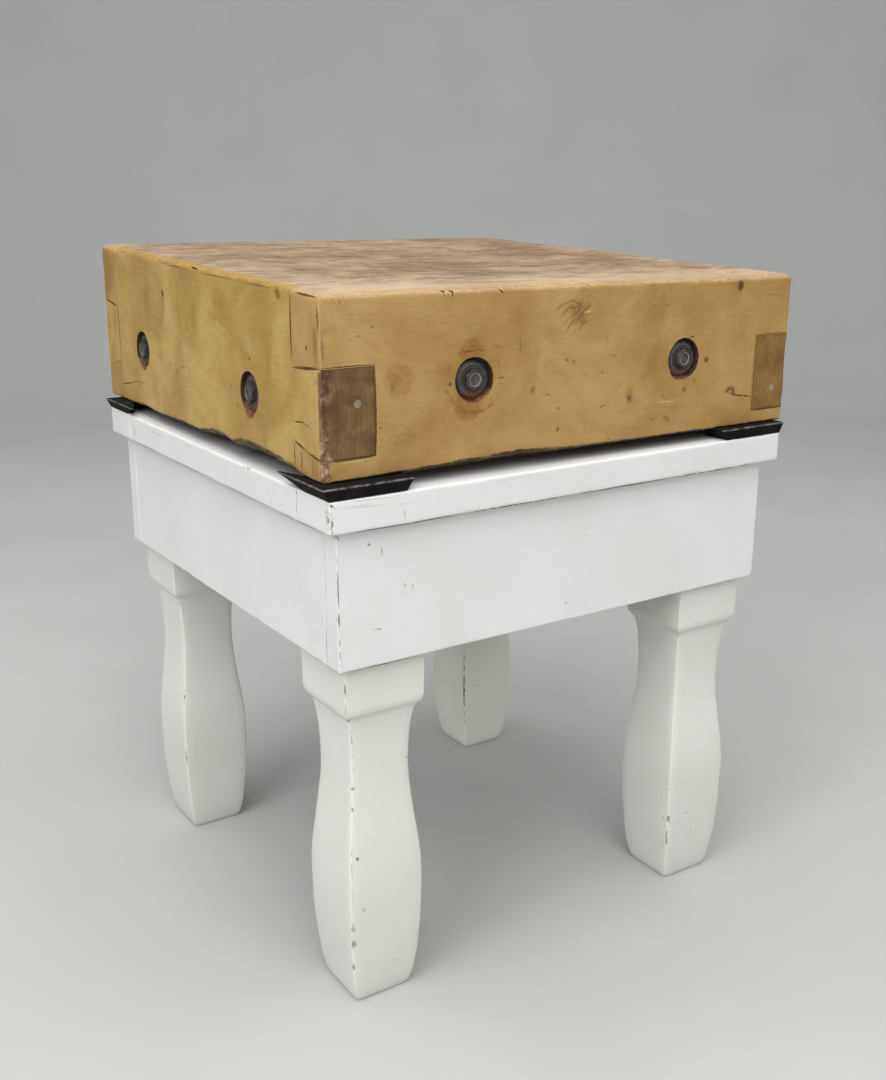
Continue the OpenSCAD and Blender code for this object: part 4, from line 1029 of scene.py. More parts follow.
RUST = {
    "front": [(-135, 84, 29, 1.0), (142.5, 84, 25, 0.55), (-142, 60, 22, 0.8), (-138, 112, 19, 0.75), (-222, 90, 24, 0.62)],
    "left": [(-141, 45, 12, 0.9), (174, 54, 10, 0.8), (-145, 63.5, 23.5, 0.45), (170, 72.5, 23.5, 0.45)],
    "back": [(-135, 84, 28, 0.9), (142.5, 84, 27, 0.8)], "right": [(-145, 63.5, 27, 0.8), (170, 72.5, 26, 0.8)],
}


def shade_board(me, kind, s, face):
    P = coords(me)
    x, y, z = P.T
    dt = ztop(x, y) - z
    along = x if face == "y" else y
    outd = H - s * (y if face == "y" else x)
    skin = smooth(30, 4, outd)
    stain = np.zeros(len(P))
    for a, h, r, k in STAINS[kind]:
        d = np.hypot(along - a, z - h)
        stain = np.maximum(stain, k * smooth(r, r * 0.25, d))
    rust = np.zeros(len(P))
    for a, h, r, k in RUST[kind]:
        d = np.hypot(along - a, z - h)
        rust = np.maximum(rust, k * smooth(r, r * 0.62, d))
    si, nx, ny = outline(x, y, 0.5)
    rise = low_raise(x + nx * si, y + ny * si, nx, ny)
    # painted shade, partly grime: the worn bottom edge and the underside are darkened
    edge = smooth(2.6 + rise * 1.25, 0.4 + rise * 0.85, z) * (0.78 + 0.45 * fbm(P, 18.0, 81, 3))
    underside_shade = smooth(1.0, 0.1, z) * 0.75
    low = np.zeros(len(P))
    for f0, s0, a, h in BOLTS:
        if f0 == face and s0 == s:
            d = np.hypot(along - a, z - h)
            down = (0.62 * (a - along) + 0.80 * (h - z)) if (f0, s0, a) == ("y", -1, 142.5) else h - z
            low = np.maximum(low, smooth(6.0, 17.0, down) * smooth(28.0, 26.0, d))
    add_val(me, "low", low)
    add_val(me, "stain", stain * skin)
    add_val(me, "rust", rust * skin)
    add_val(me, "bottom_dirt_and_shade", np.clip(np.maximum(edge, underside_shade), 0, 1))
    qn = np.stack([x + nx * si, y + ny * si, 0 * x], -1)
    w = 4.9 + 2.6 * fbm(qn, 36.0, 91, 2) + 1.6 * noise3(qn, 8.0, 93)
    ar = smooth(w + 1.6, w - 1.2, dt) * smooth(26, 9, np.maximum(si, 0))
    add_val(me, "arris", ar)
    add_val(me, "top", smooth(1.0, 0.2, dt) * smooth(6, 13, si))
    add_val(me, "crumble", crumble_mask(P))
    add_vec(me, "bp", P)
    # end grain where the grain runs out of a face
    if face == "x":
        m1 = len(me.materials)
        me.materials.append(MAT["tail_near"] if kind == "left" else MAT["tail_right"])
        own = me.materials.find(MAT[kind].name)
        for p in me.polygons:
            if p.material_index == own and abs(p.normal.y) > 0.75 and abs(abs(p.center.y) - H) < 0.6:
                p.material_index = m1


for kind in ("front", "back", "left", "right"):
    me, s, face = board_mesh(kind)
    shade_board(me, kind, s, face)
    set_coords(me, block_world(wear_block(coords(me))))
    finish_piece(kind + "_side_board_worn", me, "block", [kind + "_side_board"])


# ------------------------------------------------------------------
# core: upright staves
# ------------------------------------------------------------------
def stave(x0, x1, y0, y1, cell=5.5):
    """Closed upright stave with softened top edges. Returns points, faces and the closeness of each point to the edge."""
    def axis(a, b):
        n = max(2, int(round((b - a) / cell)))
        v = [a, a + 0.5] + [a + (b - a) * i / n for i in range(1, n)] + [b - 0.5, b]
        return v
    X, Y = axis(x0, x1), axis(y0, y1)
    nx, ny = len(X), len(Y)
    pts, faces, jt = [], [], []
    for j, yy in enumerate(Y):
        for i, xx in enumerate(X):
            edge = i in (0, nx - 1) or j in (0, ny - 1)
            pts.append((xx, yy, ztop(xx, yy) - (0.10 if edge else 0.0)))
            d = min(xx - x0, x1 - xx, yy - y0, y1 - yy)
            jt.append(1.0 if d < 0.6 else 0.0)
    top = lambda i, j: j * nx + i
    for j in range(ny - 1):
        for i in range(nx - 1):
            faces.append((top(i, j), top(i + 1, j), top(i + 1, j + 1), top(i, j + 1)))
    rim = [(i, 0) for i in range(nx)] + [(nx - 1, j) for j in range(1, ny)] + [(i, ny - 1) for i in range(nx - 2, -1, -1)] + \
          [(0, j) for j in range(ny - 2, 0, -1)]
    prev = [top(i, j) for i, j in rim]
    for zz in (150.0, 100.0, 50.0, 0.5, 0.0):
        cur = []
        for i, j in rim:
            off = 0.5 if zz == 0.0 else 0.0
            xx = min(max(X[i], x0 + off), x1 - off)
            yy = min(max(Y[j], y0 + off), y1 - off)
            cur.append(len(pts))
            pts.append((xx, yy, zz))
            jt.append(0.0)
        for a in range(len(rim)):
            b = (a + 1) % len(rim)
            faces.append((prev[b], prev[a], cur[a], cur[b]))
        prev = cur
    faces.append(tuple(reversed(prev)))
    return pts, faces, jt


SW, SD = (R_IN - L_IN) / 8.0, (B_IN - F_IN) / 8.0
rng = np.random.default_rng(77)
for row in range(1, 9):
    y0 = F_IN + (row - 1) * SD
    stag = row % 2 == 0
    P, F, J, SV, LIFT = [], [], [], [], []
    for k in range(9 if stag else 8):
        x0 = L_IN + (max(0, k - 0.5) if stag else k) * SW
        x1 = L_IN + (min(8, k + 0.5) if stag else k + 1) * SW
        gap = 0.05
        pts, faces, jt = stave(x0 + gap, x1 - gap, y0 + gap, y0 + SD - gap)
        base = len(P)
        P += pts
        F += [tuple(base + v for v in f) for f in faces]
        J += jt
        side = rng.choice([-1, 1])
        c = ((x0 + x1) / 2 + rng.uniform(-30, 30), y0 + SD / 2 + side * rng.uniform(35, 140), rng.uniform(0, 1))
        SV += [c] * len(pts)
        LIFT += [rng.uniform(-0.10, 0.04)] * len(pts)
    me = bpy.data.meshes.new("core_row_%d_staves" % row)
    me.from_pydata(P, [], F)
    me.update()
    me.materials.append(MAT["core"])
    add_vec(me, "bp", np.array(P))
    add_vec(me, "stave", np.array(SV))
    add_val(me, "joint", np.array(J))
    PW = wear_block(np.array(P, float), True, np.array(LIFT))
    set_coords(me, block_world(PW))
    bm = bmesh.new()
    bm.from_mesh(me)
    bmesh.ops.recalc_face_normals(bm, faces=bm.faces[:])
    bm.to_mesh(me)
    bm.free()
    finish_piece("core_row_%d_staves" % row, me, "block", ["core_row_%d" % row])


# ------------------------------------------------------------------
# materials of the stand and the metal
# ------------------------------------------------------------------
def paint_material(name, along, tone, seed=0.0, marks=(), cracks=(), lines=(), arris_highlight=0.50, chips=0.30, unpainted_and_shaded_inside=True):
    """Brushed paint of one tone, with a painted highlight along the arrises, painted shade on the rail tops beneath the
    block and dark unpainted wood inside the frame, chipped here and there.
    marks and cracks are placed in the stand's coordinates, lines by distance from the outer front arris and height."""
    t = Tree(name)
    bp = t.attr("bp")
    st = {"x": (0.05, 1, 1), "y": (1, 0.05, 1), "z": (1, 1, 0.05)}[along]
    brush = t.noise(bp, 0.75, 4.0, 0.6, 0.15, stretch=st, shift=(seed, 0, 0))
    big = t.noise(bp, 0.010, 2.0, 0.5, 0.2, shift=(seed * 3, 1, 0))
    fine = t.noise(bp, 0.30, 3.0, 0.6, 0.2, shift=(0, seed, 0))
    r, g, b = tone
    col = t.ramp(big, [(0.35, rgb(r - 3, g - 3, b - 4)), (0.65, rgb(r + 2, g + 2, b + 2))])
    col = t.mix(t.map(brush, 0.55, 0.78, 0.0, 0.10), col, rgb(r - 36, g - 37, b - 42))
    col = t.mix(t.map(fine, 0.62, 0.78, 0.0, 0.08), col, rgb(r - 30, g - 32, b - 42))
    px, py, pz = t.xyz(bp)
    # painted shade: the rail tops turn violet grey inward from their outer edge, beneath the block
    inset = t.math("SUBTRACT", 300.0, t.math("MAXIMUM", t.math("ABSOLUTE", px), t.math("ABSOLUTE", py)))
    painted_shade_under_block = t.math("MULTIPLY", t.map(inset, 3.0, 26.0, 0.0, 0.62), t.map(pz, 576.5, 577.8))
    col = t.mix(painted_shade_under_block, col, rgb(150, 145, 151))
    # small grey nicks through the paint
    sp = t.voronoi(bp, 0.050)
    where = t.noise(bp, 0.018, 2.0, 0.5, 0.0, shift=(9.0 + seed, 2.0, 4.0))
    nick = t.math("MULTIPLY", t.map(sp, 0.080, 0.040), t.map(where, 0.60, 0.68))
    col = t.mix(t.math("MULTIPLY", nick, 0.45), col, rgb(132, 126, 112))
    # arrises: a painted highlight along them, broken grey where chipped
    edge = t.attr("edge", "Fac")
    en = t.noise(bp, 0.060, 4.0, 0.75, 0.6, shift=(3, seed, 7))
    col = t.mix(t.math("MULTIPLY", t.map(edge, 0.3, 0.9), arris_highlight), col, rgb(min(255, r + 16), min(255, g + 16), min(255, b + 14)))
    chip = t.math("MULTIPLY", t.map(edge, 0.55, 0.95), t.map(en, 0.66, 0.70))
    col = t.mix(t.math("MULTIPLY", chip, chips), col, rgb(140, 132, 118))
    wear = t.attr("wear", "Fac")
    wn = t.noise(bp, 0.24, 4.0, 0.7, 0.5)
    wm = t.map(t.math("ADD", wear, t.math("MULTIPLY", t.math("SUBTRACT", wn, 0.5), 1.4)), 0.45, 0.72)
    col = t.mix(t.math("MULTIPLY", wm, 0.72), col, rgb(120, 110, 94))
    # inner faces of the frame: unpainted wood, kept dark as painted shade for the inside of the stand
    if unpainted_and_shaded_inside:
        inner = t.attr("inner", "Fac")
        gn = t.noise(bp, 0.30, 4.0, 0.65, 0.3, stretch=st, shift=(seed, 5, 9))
        wood = t.ramp(gn, [(0.30, rgb(74, 58, 42)), (0.50, rgb(104, 84, 60)), (0.70, rgb(128, 106, 78))])
        ragged = t.noise(bp, 0.06, 4.0, 0.65, 0.5, shift=(seed, 1, 6))
        col = t.mix(t.map(t.math("ADD", inner, t.math("MULTIPLY", t.math("SUBTRACT", ragged, 0.5), 0.7)), 0.40, 0.50), col, wood)
    if marks or cracks:
        jit = t.noise(bp, 0.22, 3.0, 0.6, 0.0, colour=True)
        jp = t.vec("ADD", bp, t.vec("SCALE", t.vec("SUBTRACT", jit, (0.5, 0.5, 0.5)), scale=2.2))
        for a, b, w, k, c in marks:
            col = t.mix(t.mark(jp, a, b, w, k), col, c)
        if cracks:
            jp = t.vec("ADD", bp, t.vec("SCALE", t.vec("SUBTRACT", jit, (0.5, 0.5, 0.5)), scale=1.2))
            brk = t.noise(bp, 0.10, 3.0, 0.6, 0.0, shift=(seed, 3, 3))
            for a, b, w, gaps in cracks:
                m = t.mark(jp, a, b, w, 1.0, 0.45)
                if gaps > 0:
                    m = t.math("MULTIPLY", m, t.map(brk, 0.40 + 0.16 * gaps, 0.46 + 0.16 * gaps))
                col = t.mix(t.math("MULTIPLY", m, 0.80), col, rgb(84, 76, 66))
    if lines:
        uz = t.attr("uz")
        jit = t.noise(bp, 0.16, 3.0, 0.65, 0.0, colour=True, shift=(1, seed, 2))
        up = t.vec("ADD", uz, t.vec("MULTIPLY", t.vec("SUBTRACT", jit, (0.5, 0.5, 0.5)), (2.6, 2.0, 0.0)))
        brk = t.noise(bp, 0.13, 3.0, 0.65, 0.0, shift=(seed, 8, 3))
        for a, b, w, k, gaps, c in lines:
            m = t.mark2(up, a, b, w, k, 0.5)
            if gaps > 0:
                m = t.math("MULTIPLY", m, t.map(brk, 0.38 + 0.16 * gaps, 0.46 + 0.16 * gaps))
            col = t.mix(m, col, c)
    t.put(t.bsdf.inputs["Base Color"], col)
    t.put(t.bsdf.inputs["Roughness"], t.map(brush, 0.3, 0.7, 0.42, 0.56, "LINEAR"))
    t.bsdf.inputs["Specular IOR Level"].default_value = 0.35
    h = t.math("ADD", t.math("MULTIPLY", brush, 0.8), t.math("MULTIPLY", fine, 0.25))
    h = t.math("SUBTRACT", h, t.math("MULTIPLY", nick, 0.6))
    t.put(t.bsdf.inputs["Normal"], t.bump(h, 0.22, 0.0008))
    return t.mat


def metal_material(name, base, lite, rough, metallic, rust=0.0, spec=0.5, worn_rim_highlight=None, low=None):
    t = Tree(name)
    p = t.vec("SCALE", t.obj(), scale=1000.0)
    n1 = t.noise(p, 0.05, 4.0, 0.6, 0.3)
    n2 = t.noise(p, 0.6, 3.0, 0.6, 0.0)
    col = t.ramp(n1, [(0.35, base), (0.68, lite)])
    col = t.mix(t.map(n2, 0.55, 0.72, 0.0, 0.35), col, lite)
    if rust:
        r = t.noise(p, 0.11, 4.0, 0.7, 0.4, shift=(4, 0, 0))
        col = t.mix(t.math("MULTIPLY", t.map(r, 0.50, 0.66), rust), col, rgb(92, 52, 30))
    # painted highlight along the rim edges, partly worn metal
    if worn_rim_highlight is not None:
        rim = t.attr("rim", "Fac")
        rn = t.noise(p, 0.09, 4.0, 0.7, 0.4, shift=(2, 6, 1))
        col = t.mix(t.math("MULTIPLY", t.map(rim, 0.35, 0.85), t.map(rn, 0.36, 0.58, 0.15, 0.9)), col, worn_rim_highlight)
    if low is not None:
        lw = t.attr("low", "Fac")
        ln = t.noise(p, 0.32, 4.0, 0.7, 0.4, shift=(7, 6, 1))
        col = t.mix(t.math("MULTIPLY", t.map(lw, 0.1, 0.8), t.map(ln, 0.38, 0.60, 0.1, 0.9)), col, low)
    t.put(t.bsdf.inputs["Base Color"], col)
    t.bsdf.inputs["Metallic"].default_value = metallic
    t.put(t.bsdf.inputs["Roughness"], t.map(n1, 0.3, 0.7, rough - 0.07, rough + 0.1, "LINEAR"))
    t.bsdf.inputs["Specular IOR Level"].default_value = spec
    t.put(t.bsdf.inputs["Normal"], t.bump(t.math("ADD", n1, t.math("MULTIPLY", n2, 0.4)), 0.35, 0.0008))
    return t.mat


GREY = rgb(120, 112, 98)
GR2 = rgb(150, 146, 138)
GR3 = rgb(172, 168, 160)
SEAM_AND_SHADOW_LINE = rgb(88, 80, 70)
WHITE = (226, 226, 225)
LEGTONE = (221, 221, 215)
YEL = rgb(214, 206, 160)
MAT["paint_x"] = paint_material("white_paint_x", "x", WHITE, 1.0)
MAT["paint_y"] = paint_material("white_paint_y", "y", WHITE, 2.0)
MAT["paint_front_rail"] = paint_material(
    "white_paint_front_rail", "x", WHITE, 1.5, arris_highlight=0.25, chips=0.15,
    marks=[((-298.6, -300, 577), (-298.6, -300, 546), 3.4, 0.55, rgb(205, 192, 180)), ((-299, -300, 576), (-297, -300, 574), 2.2, 0.6, rgb(150, 120, 96)),
           ((-296, -300, 570.5), (-228, -300, 567.5), 1.0, 0.45, rgb(176, 160, 156)), ((-288, -300, 576.3), (-236, -300, 575.0), 0.9, 0.45, rgb(170, 152, 148)),
           ((-232, -300, 566), (-205, -300, 565), 0.9, 0.35, GR3),
           ((-297, -300, 576), (-210, -300, 574), 1.2, 0.35, GR3), ((-293, -300, 571), (-240, -300, 571), 1.0, 0.30, GR3),
           ((140, -300, 548), (180, -300, 547), 1.4, 0.3, GR3), ((-120, -300, 573), (-60, -300, 574), 1.1, 0.25, GR3),
           ((-299, -300, 577), (-293, -300, 571), 2.4, 0.45, GR2), ((40, -300, 560), (44, -300, 559), 1.4, 0.35, GR3)],
    cracks=[((-297.3, -300, 563), (-297.0, -300, 546), 1.5, 0.35), ((-297.8, -300, 577), (-297.2, -300, 571), 1.4, 0.3), ((-299.5, -300, 577), (-299.5, -300, 546), 0.8, 0.9),
            ((-218, -300, 561), (-218, -300, 550), 0.45, 0.4)])
MAT["paint_left_rail"] = paint_material(
    "white_paint_left_rail", "y", WHITE, 2.5, arris_highlight=0.25, chips=0.15,
    marks=[((-300, -298.6, 577), (-300, -298.6, 546), 3.0, 0.50, rgb(208, 196, 184)), ((-300, 217, 566), (-300, 213, 553), 4.5, 0.40, GR2),
           ((-300, 172, 570), (-300, 104, 568), 1.4, 0.40, GR2), ((-300, 60, 573), (-300, 20, 571), 1.3, 0.30, GR3),
           ((-300, -120, 576), (-300, -128, 577), 3.0, 0.5, GREY), ((-300, -112, 577), (-300, -114, 576), 2.0, 0.5, GREY),
           ((-300, -184, 560), (-300, -176, 558), 1.0, 0.25, GR3), ((-300, -296, 574), (-300, -290, 571), 2.4, 0.4, GR2)],
    cracks=[((-300, -185, 571), (-300, -183, 560), 0.42, 0.1), ((-300, -177, 558), (-300, -175, 547), 0.42, 0.1),
            ((-300, -171, 567), (-300, -171, 556), 0.3, 0.4), ((-300, -232, 577), (-300, -232, 546), 0.4, 0.5)])
MAT["paint_front_apron"] = paint_material(
    "white_paint_front_apron", "x", WHITE, 3.5, arris_highlight=0.0, chips=0.0,
    # the greys along the upper edges of the screw fillings are painted shade and the near-white marks painted
    # highlights; the other marks are chips and scuffs
    marks=[((-4.5, -286, 421), (-4.5, -286, 419), 2.4, 0.5, GR2), ((-286, -286, 541), (-283, -286, 536), 2.6, 0.5, GREY),
           ((-245, -286, 518), (-239, -286, 519), 1.3, 0.45, GR2), ((-209, -286, 476), (-203, -286, 476), 1.3, 0.40, GR2),
           ((-244, -286, 436), (-238, -286, 437), 1.3, 0.45, GR2), ((-243, -286, 428), (-241, -286, 427), 1.8, 0.5, rgb(243, 243, 241)),
           ((-247, -286, 470), (-246, -286, 469), 1.8, 0.30, GR3),
           ((-251, -286, 527), (-249.5, -286, 526), 2.0, 0.80, GREY), ((-236.0, -286, 513), (-236.0, -286, 522), 1.7, 0.60, GR2),
           ((-247, -286, 511), (-238, -286, 511), 1.6, 0.60, GR2), ((-209, -286, 471), (-202, -286, 470.5), 1.9, 0.75, GREY),
           ((-210.8, -286, 481), (-209.8, -286, 473), 1.6, 0.60, GR2), ((-201, -286, 479), (-200.5, -286, 472), 1.4, 0.55, GR2),
           ((-246, -286, 437.8), (-238, -286, 438.2), 1.8, 0.70, GREY), ((-208, -286, 473.6), (-203, -286, 473.4), 1.5, 0.7, rgb(246, 246, 244))],
    cracks=[((-285.3, -286, 530), (-285.2, -286, 508), 0.35, 0.5), ((-285.2, -286, 509), (-284.9, -286, 464), 1.0, 0.0),
            # the lines at z 541 along the top of the apron are painted shadow of the rail's overhang; the others are
            # cracks at the corner joint
            ((-283, -286, 541.3), (-130, -286, 541.2), 1.3, 0.0),
            ((-145, -286, 541.2), (10, -286, 541.3), 1.2, 0.1), ((-5, -286, 541.3), (150, -286, 541.1), 1.2, 0.0), ((135, -286, 541.2), (287, -286, 541.3), 1.2, 0.1),
            ((-284.9, -286, 464), (-284.8, -286, 448), 1.3, 0.0), ((-284.8, -286, 450), (-284.6, -286, 402), 0.6, 0.15)])
MAT["paint_left_apron"] = paint_material(
    "white_paint_left_apron", "y", WHITE, 4.5, arris_highlight=0.0, chips=0.0,
    marks=[((-286, -238, 505), (-286, -234, 505), 1.3, 0.35, GR3), ((-286, -206, 472), (-286, -202, 471), 1.3, 0.35, GR3),
           ((-286, -237, 425), (-286, -233, 425), 1.3, 0.35, GR3), ((-286, -259.6, 444), (-286, -259.6, 402), 0.7, 0.55, GR2),
           # the long marks at z 537 are painted shadow of the rail's overhang
           ((-286, -284, 537.0), (-286, -140, 537.0), 1.3, 0.55, GR2), ((-286, -150, 537.0), (-286, 10, 537.0), 1.3, 0.50, GR2),
           ((-286, 0, 537.0), (-286, 150, 537.0), 1.3, 0.50, GR2), ((-286, 140, 537.0), (-286, 284, 537.0), 1.3, 0.50, GR2)],
    cracks=[ ((-286, -252, 452), (-286, -253, 436), 0.35, 0.4)])


def leg_lines(kind):
    """(u, z), (u, z), width, strength, gaps, colour; u is the distance from the outer front arris, right positive."""
    if kind == "front_left":
        # the first two marks, across the leg just below the apron, are painted shadow of the apron's overhang; the rest
        # are cracks and chips
        return [((0.0, 395.3), (92, 395.2), 1.3, 0.75, 0.0, SEAM_AND_SHADOW_LINE), ((-92, 391.0), (0, 391.0), 1.0, 0.40, 0.2, GREY),
                ((0.5, 384), (0.8, 366), 0.8, 0.70, 0.0, SEAM_AND_SHADOW_LINE), ((0.6, 366), (0.4, 346), 0.9, 0.45, 0.5, SEAM_AND_SHADOW_LINE),
                ((0.6, 344), (1.6, 322), 1.0, 0.70, 0.1, SEAM_AND_SHADOW_LINE), ((1.6, 322), (2.6, 300), 0.9, 0.60, 0.25, SEAM_AND_SHADOW_LINE),
                ((2.4, 300), (3.2, 277), 1.1, 0.55, 0.45, SEAM_AND_SHADOW_LINE), ((1.0, 259), (3.6, 258), 1.4, 0.55, 0.0, GREY), ((3.6, 262), (3.9, 257), 1.0, 0.4, 0.0, GREY),
                ((1.2, 237), (1.9, 234), 1.6, 0.65, 0.0, GREY), ((1.6, 203), (2.6, 153), 1.1, 0.45, 0.55, GREY), ((2.4, 150), (3.0, 128), 0.9, 0.35, 0.5, GREY),
                ((8.0, 183), (9.6, 180), 2.1, 0.75, 0.0, SEAM_AND_SHADOW_LINE), ((14.5, 121), (17, 119), 1.9, 0.55, 0.0, GR2), ((17, 123), (18.5, 121), 1.0, 0.4, 0.0, GR2),
                ((1.0, 107), (3.6, 100), 1.4, 0.50, 0.0, GREY), ((3.9, 102), (4.2, 95), 1.2, 0.50, 0.0, GREY), ((3.6, 85), (4.0, 78), 1.8, 0.65, 0.0, SEAM_AND_SHADOW_LINE),
                ((1.2, 92), (1.0, 72), 1.0, 0.45, 0.3, GREY), ((-2.0, 60), (1.5, 40), 1.6, 0.35, 0.6, GREY),
                ((66.0, 278), (71, 277), 1.2, 0.55, 0.0, GREY), ((20, 52), (26, 40), 2.2, 0.25, 0.5, GREY), ((50, 45), (58, 38), 2.2, 0.22, 0.5, GREY),
                ((70.5, 262), (90.5, 175), 3.2, 0.50, 0.0, YEL)]
    if kind == "front_right":
        # the first mark, across the leg just below the apron, is painted shadow of the apron's overhang
        return [((0.0, 395.6), (92, 395.6), 1.2, 0.65, 0.1, SEAM_AND_SHADOW_LINE), ((-9.0, 93), (-7.5, 90), 1.5, 0.60, 0.0, GREY), ((-1.5, 95), (4.5, 92), 2.4, 0.45, 0.2, GREY), ((2.0, 90), (3.5, 86), 1.6, 0.45, 0.0, GREY),
                ((0.2, 82), (0.4, 47), 1.1, 0.60, 0.35, SEAM_AND_SHADOW_LINE), ((-7.5, 62), (-7.3, 45), 1.0, 0.50, 0.4, GREY), ((30, 94), (32, 92), 1.3, 0.45, 0.0, GREY),
                ((-10, 148), (-4, 147), 1.3, 0.25, 0.4, GREY), ((-8, 134), (3, 133), 1.2, 0.28, 0.4, GREY), ((16, 86), (18, 85), 1.1, 0.4, 0.0, GREY),
                ((40, 70), (43, 60), 1.1, 0.35, 0.4, GREY), ((-0.2, 345), (0.2, 330), 1.4, 0.40, 0.2, GREY)]
    if kind == "back_right":
        return [((0.2, 172), (0.6, 137), 1.2, 0.55, 0.45, SEAM_AND_SHADOW_LINE), ((0.6, 137), (0.2, 75), 1.7, 0.80, 0.15, SEAM_AND_SHADOW_LINE), ((0.2, 75), (0.6, 44), 1.2, 0.55, 0.45, SEAM_AND_SHADOW_LINE),
                ((0.0, 340), (0.4, 318), 1.1, 0.40, 0.4, GREY), ((20, 110), (22, 108), 1.5, 0.4, 0.0, GREY)]
    return [((0.4, 210), (0.8, 186), 1.1, 0.45, 0.4, GREY), ((0.2, 126), (0.6, 98), 1.2, 0.50, 0.4, GREY), ((0.0, 345), (0.4, 325), 1.1, 0.40, 0.4, GREY),
            ((-14, 60), (-12, 57), 1.6, 0.4, 0.0, GREY), ((24, 160), (26, 158), 1.4, 0.35, 0.0, GREY)]


# the back right leg's paint is paler than the others: painted light, for the light it catches from behind
for _k, _n in (("front_left", 3.0), ("front_right", 5.0), ("back_left", 7.0), ("back_right", 9.0)):
    MAT["paint_leg_" + _k] = paint_material("white_paint_leg_" + _k, "z", (248, 248, 238) if _k == "back_right" else LEGTONE, _n, lines=leg_lines(_k), arris_highlight=0.06, chips=0.0)
MAT["iron"] = metal_material("black_iron", rgb(15, 14, 15), rgb(26, 24, 25), 0.72, 0.0, 0.06, 0.10, worn_rim_highlight=rgb(112, 110, 111))
MAT["dark_steel"] = metal_material("old_dark_steel", rgb(52, 49, 47), rgb(86, 82, 78), 0.5, 0.75, 0.45)
MAT["rod_steel"] = metal_material("rod_end_steel", rgb(72, 68, 64), rgb(104, 100, 95), 0.5, 0.3, 0.25)
MAT["washer"] = metal_material("worn_washer_steel", rgb(44, 41, 40), rgb(72, 69, 67), 0.52, 0.25, 0.25, 0.45, rgb(118, 118, 118), rgb(104, 60, 46))
MAT["nut"] = metal_material("worn_nut_steel", rgb(52, 49, 48), rgb(80, 77, 75), 0.48, 0.25, 0.20, 0.45, rgb(136, 138, 138))
MAT["nail"] = metal_material("nail_steel", rgb(118, 108, 84), rgb(176, 167, 132), 0.6, 0.15, 0.25)
MAT["screw_black"] = metal_material("iron_screw_black", rgb(30, 28, 29), rgb(52, 50, 50), 0.45, 0.4, 0.15)


def dense_box(lo, hi, cell, bevel=0.5, segments=1, fine=(1.2, 2.6, 4.4, 7.0, 11.0)):
    (x0, y0, z0), (x1, y1, z1) = lo, hi
    bm = bm_loft([[(x0, y0, z), (x1, y0, z), (x1, y1, z), (x0, y1, z)] for z in (z0, z1)])
    if bevel:
        bm_bevel(bm, bevel, segments)
    cuts = []
    for ax, a, b in (("x", x0, x1), ("y", y0, y1), ("z", z0, z1)):
        cuts.append((ax, sorted(set(steps(a, b, cell) + near_faces(a, b, fine)))))
    return bm, cuts


def edge_wear(P, lo, hi, r, seed, amount=1.0, keep=()):
    """Rounds a box's arrises unevenly. keep lists sides, such as -x, that butt another piece and stay crisp."""
    P = P.copy()
    lo, hi = np.array(lo, float), np.array(hi, float)
    Q = P.copy()
    rr = np.clip(r * (1 + 0.35 * fbm(P, 45.0, seed, 2) + 0.25 * noise3(P, 9.0, seed + 1)), 0.4, None) * amount
    near = np.zeros(len(P))
    D = []
    for ax in range(3):
        dl, dh = P[:, ax] - lo[ax], hi[ax] - P[:, ax]
        if "-" + "xyz"[ax] in keep:
            dl = np.full_like(dl, 1e3)
        if "+" + "xyz"[ax] in keep:
            dh = np.full_like(dh, 1e3)
        D.append((np.minimum(dl, dh), np.where(dl < dh, -1.0, 1.0)))
    A = [np.maximum(0, 1 - D[ax][0] / rr) for ax in range(3)]
    norm = np.sqrt(A[0] ** 2 + A[1] ** 2 + A[2] ** 2)
    big = np.maximum(np.maximum(A[0], A[1]), A[2])
    f = np.where(norm > 0, big / np.maximum(norm, 1e-9), 1.0)
    for ax in range(3):
        on = A[ax] > 0
        Q[:, ax] = np.where(on, P[:, ax] + D[ax][1] * (D[ax][0] - rr * (1 - A[ax] * f)), P[:, ax])
    ds = np.sort(np.stack([np.clip(d[0], 0, 50) for d in D], -1), axis=1)
    near = smooth(3.4, 0.3, ds[:, 1])
    return Q, near


def face_dent(P, lo, hi, seed, amount=0.35):
    """Planes that aren't quite flat."""
    P = P.copy()
    lo, hi = np.array(lo, float), np.array(hi, float)
    for ax in range(3):
        for side, base in ((-1.0, lo[ax]), (1.0, hi[ax])):
            d = np.abs(P[:, ax] - base)
            q = P.copy()
            q[:, ax] = 300.0 * side
            w = smooth(6.0, 0.0, d)
            P[:, ax] -= side * w * amount * (0.5 + 0.5 * fbm(q, 70.0, seed + 3 * ax, 2) + 0.22 * noise3(q, 14.0, seed + 5))
    return P


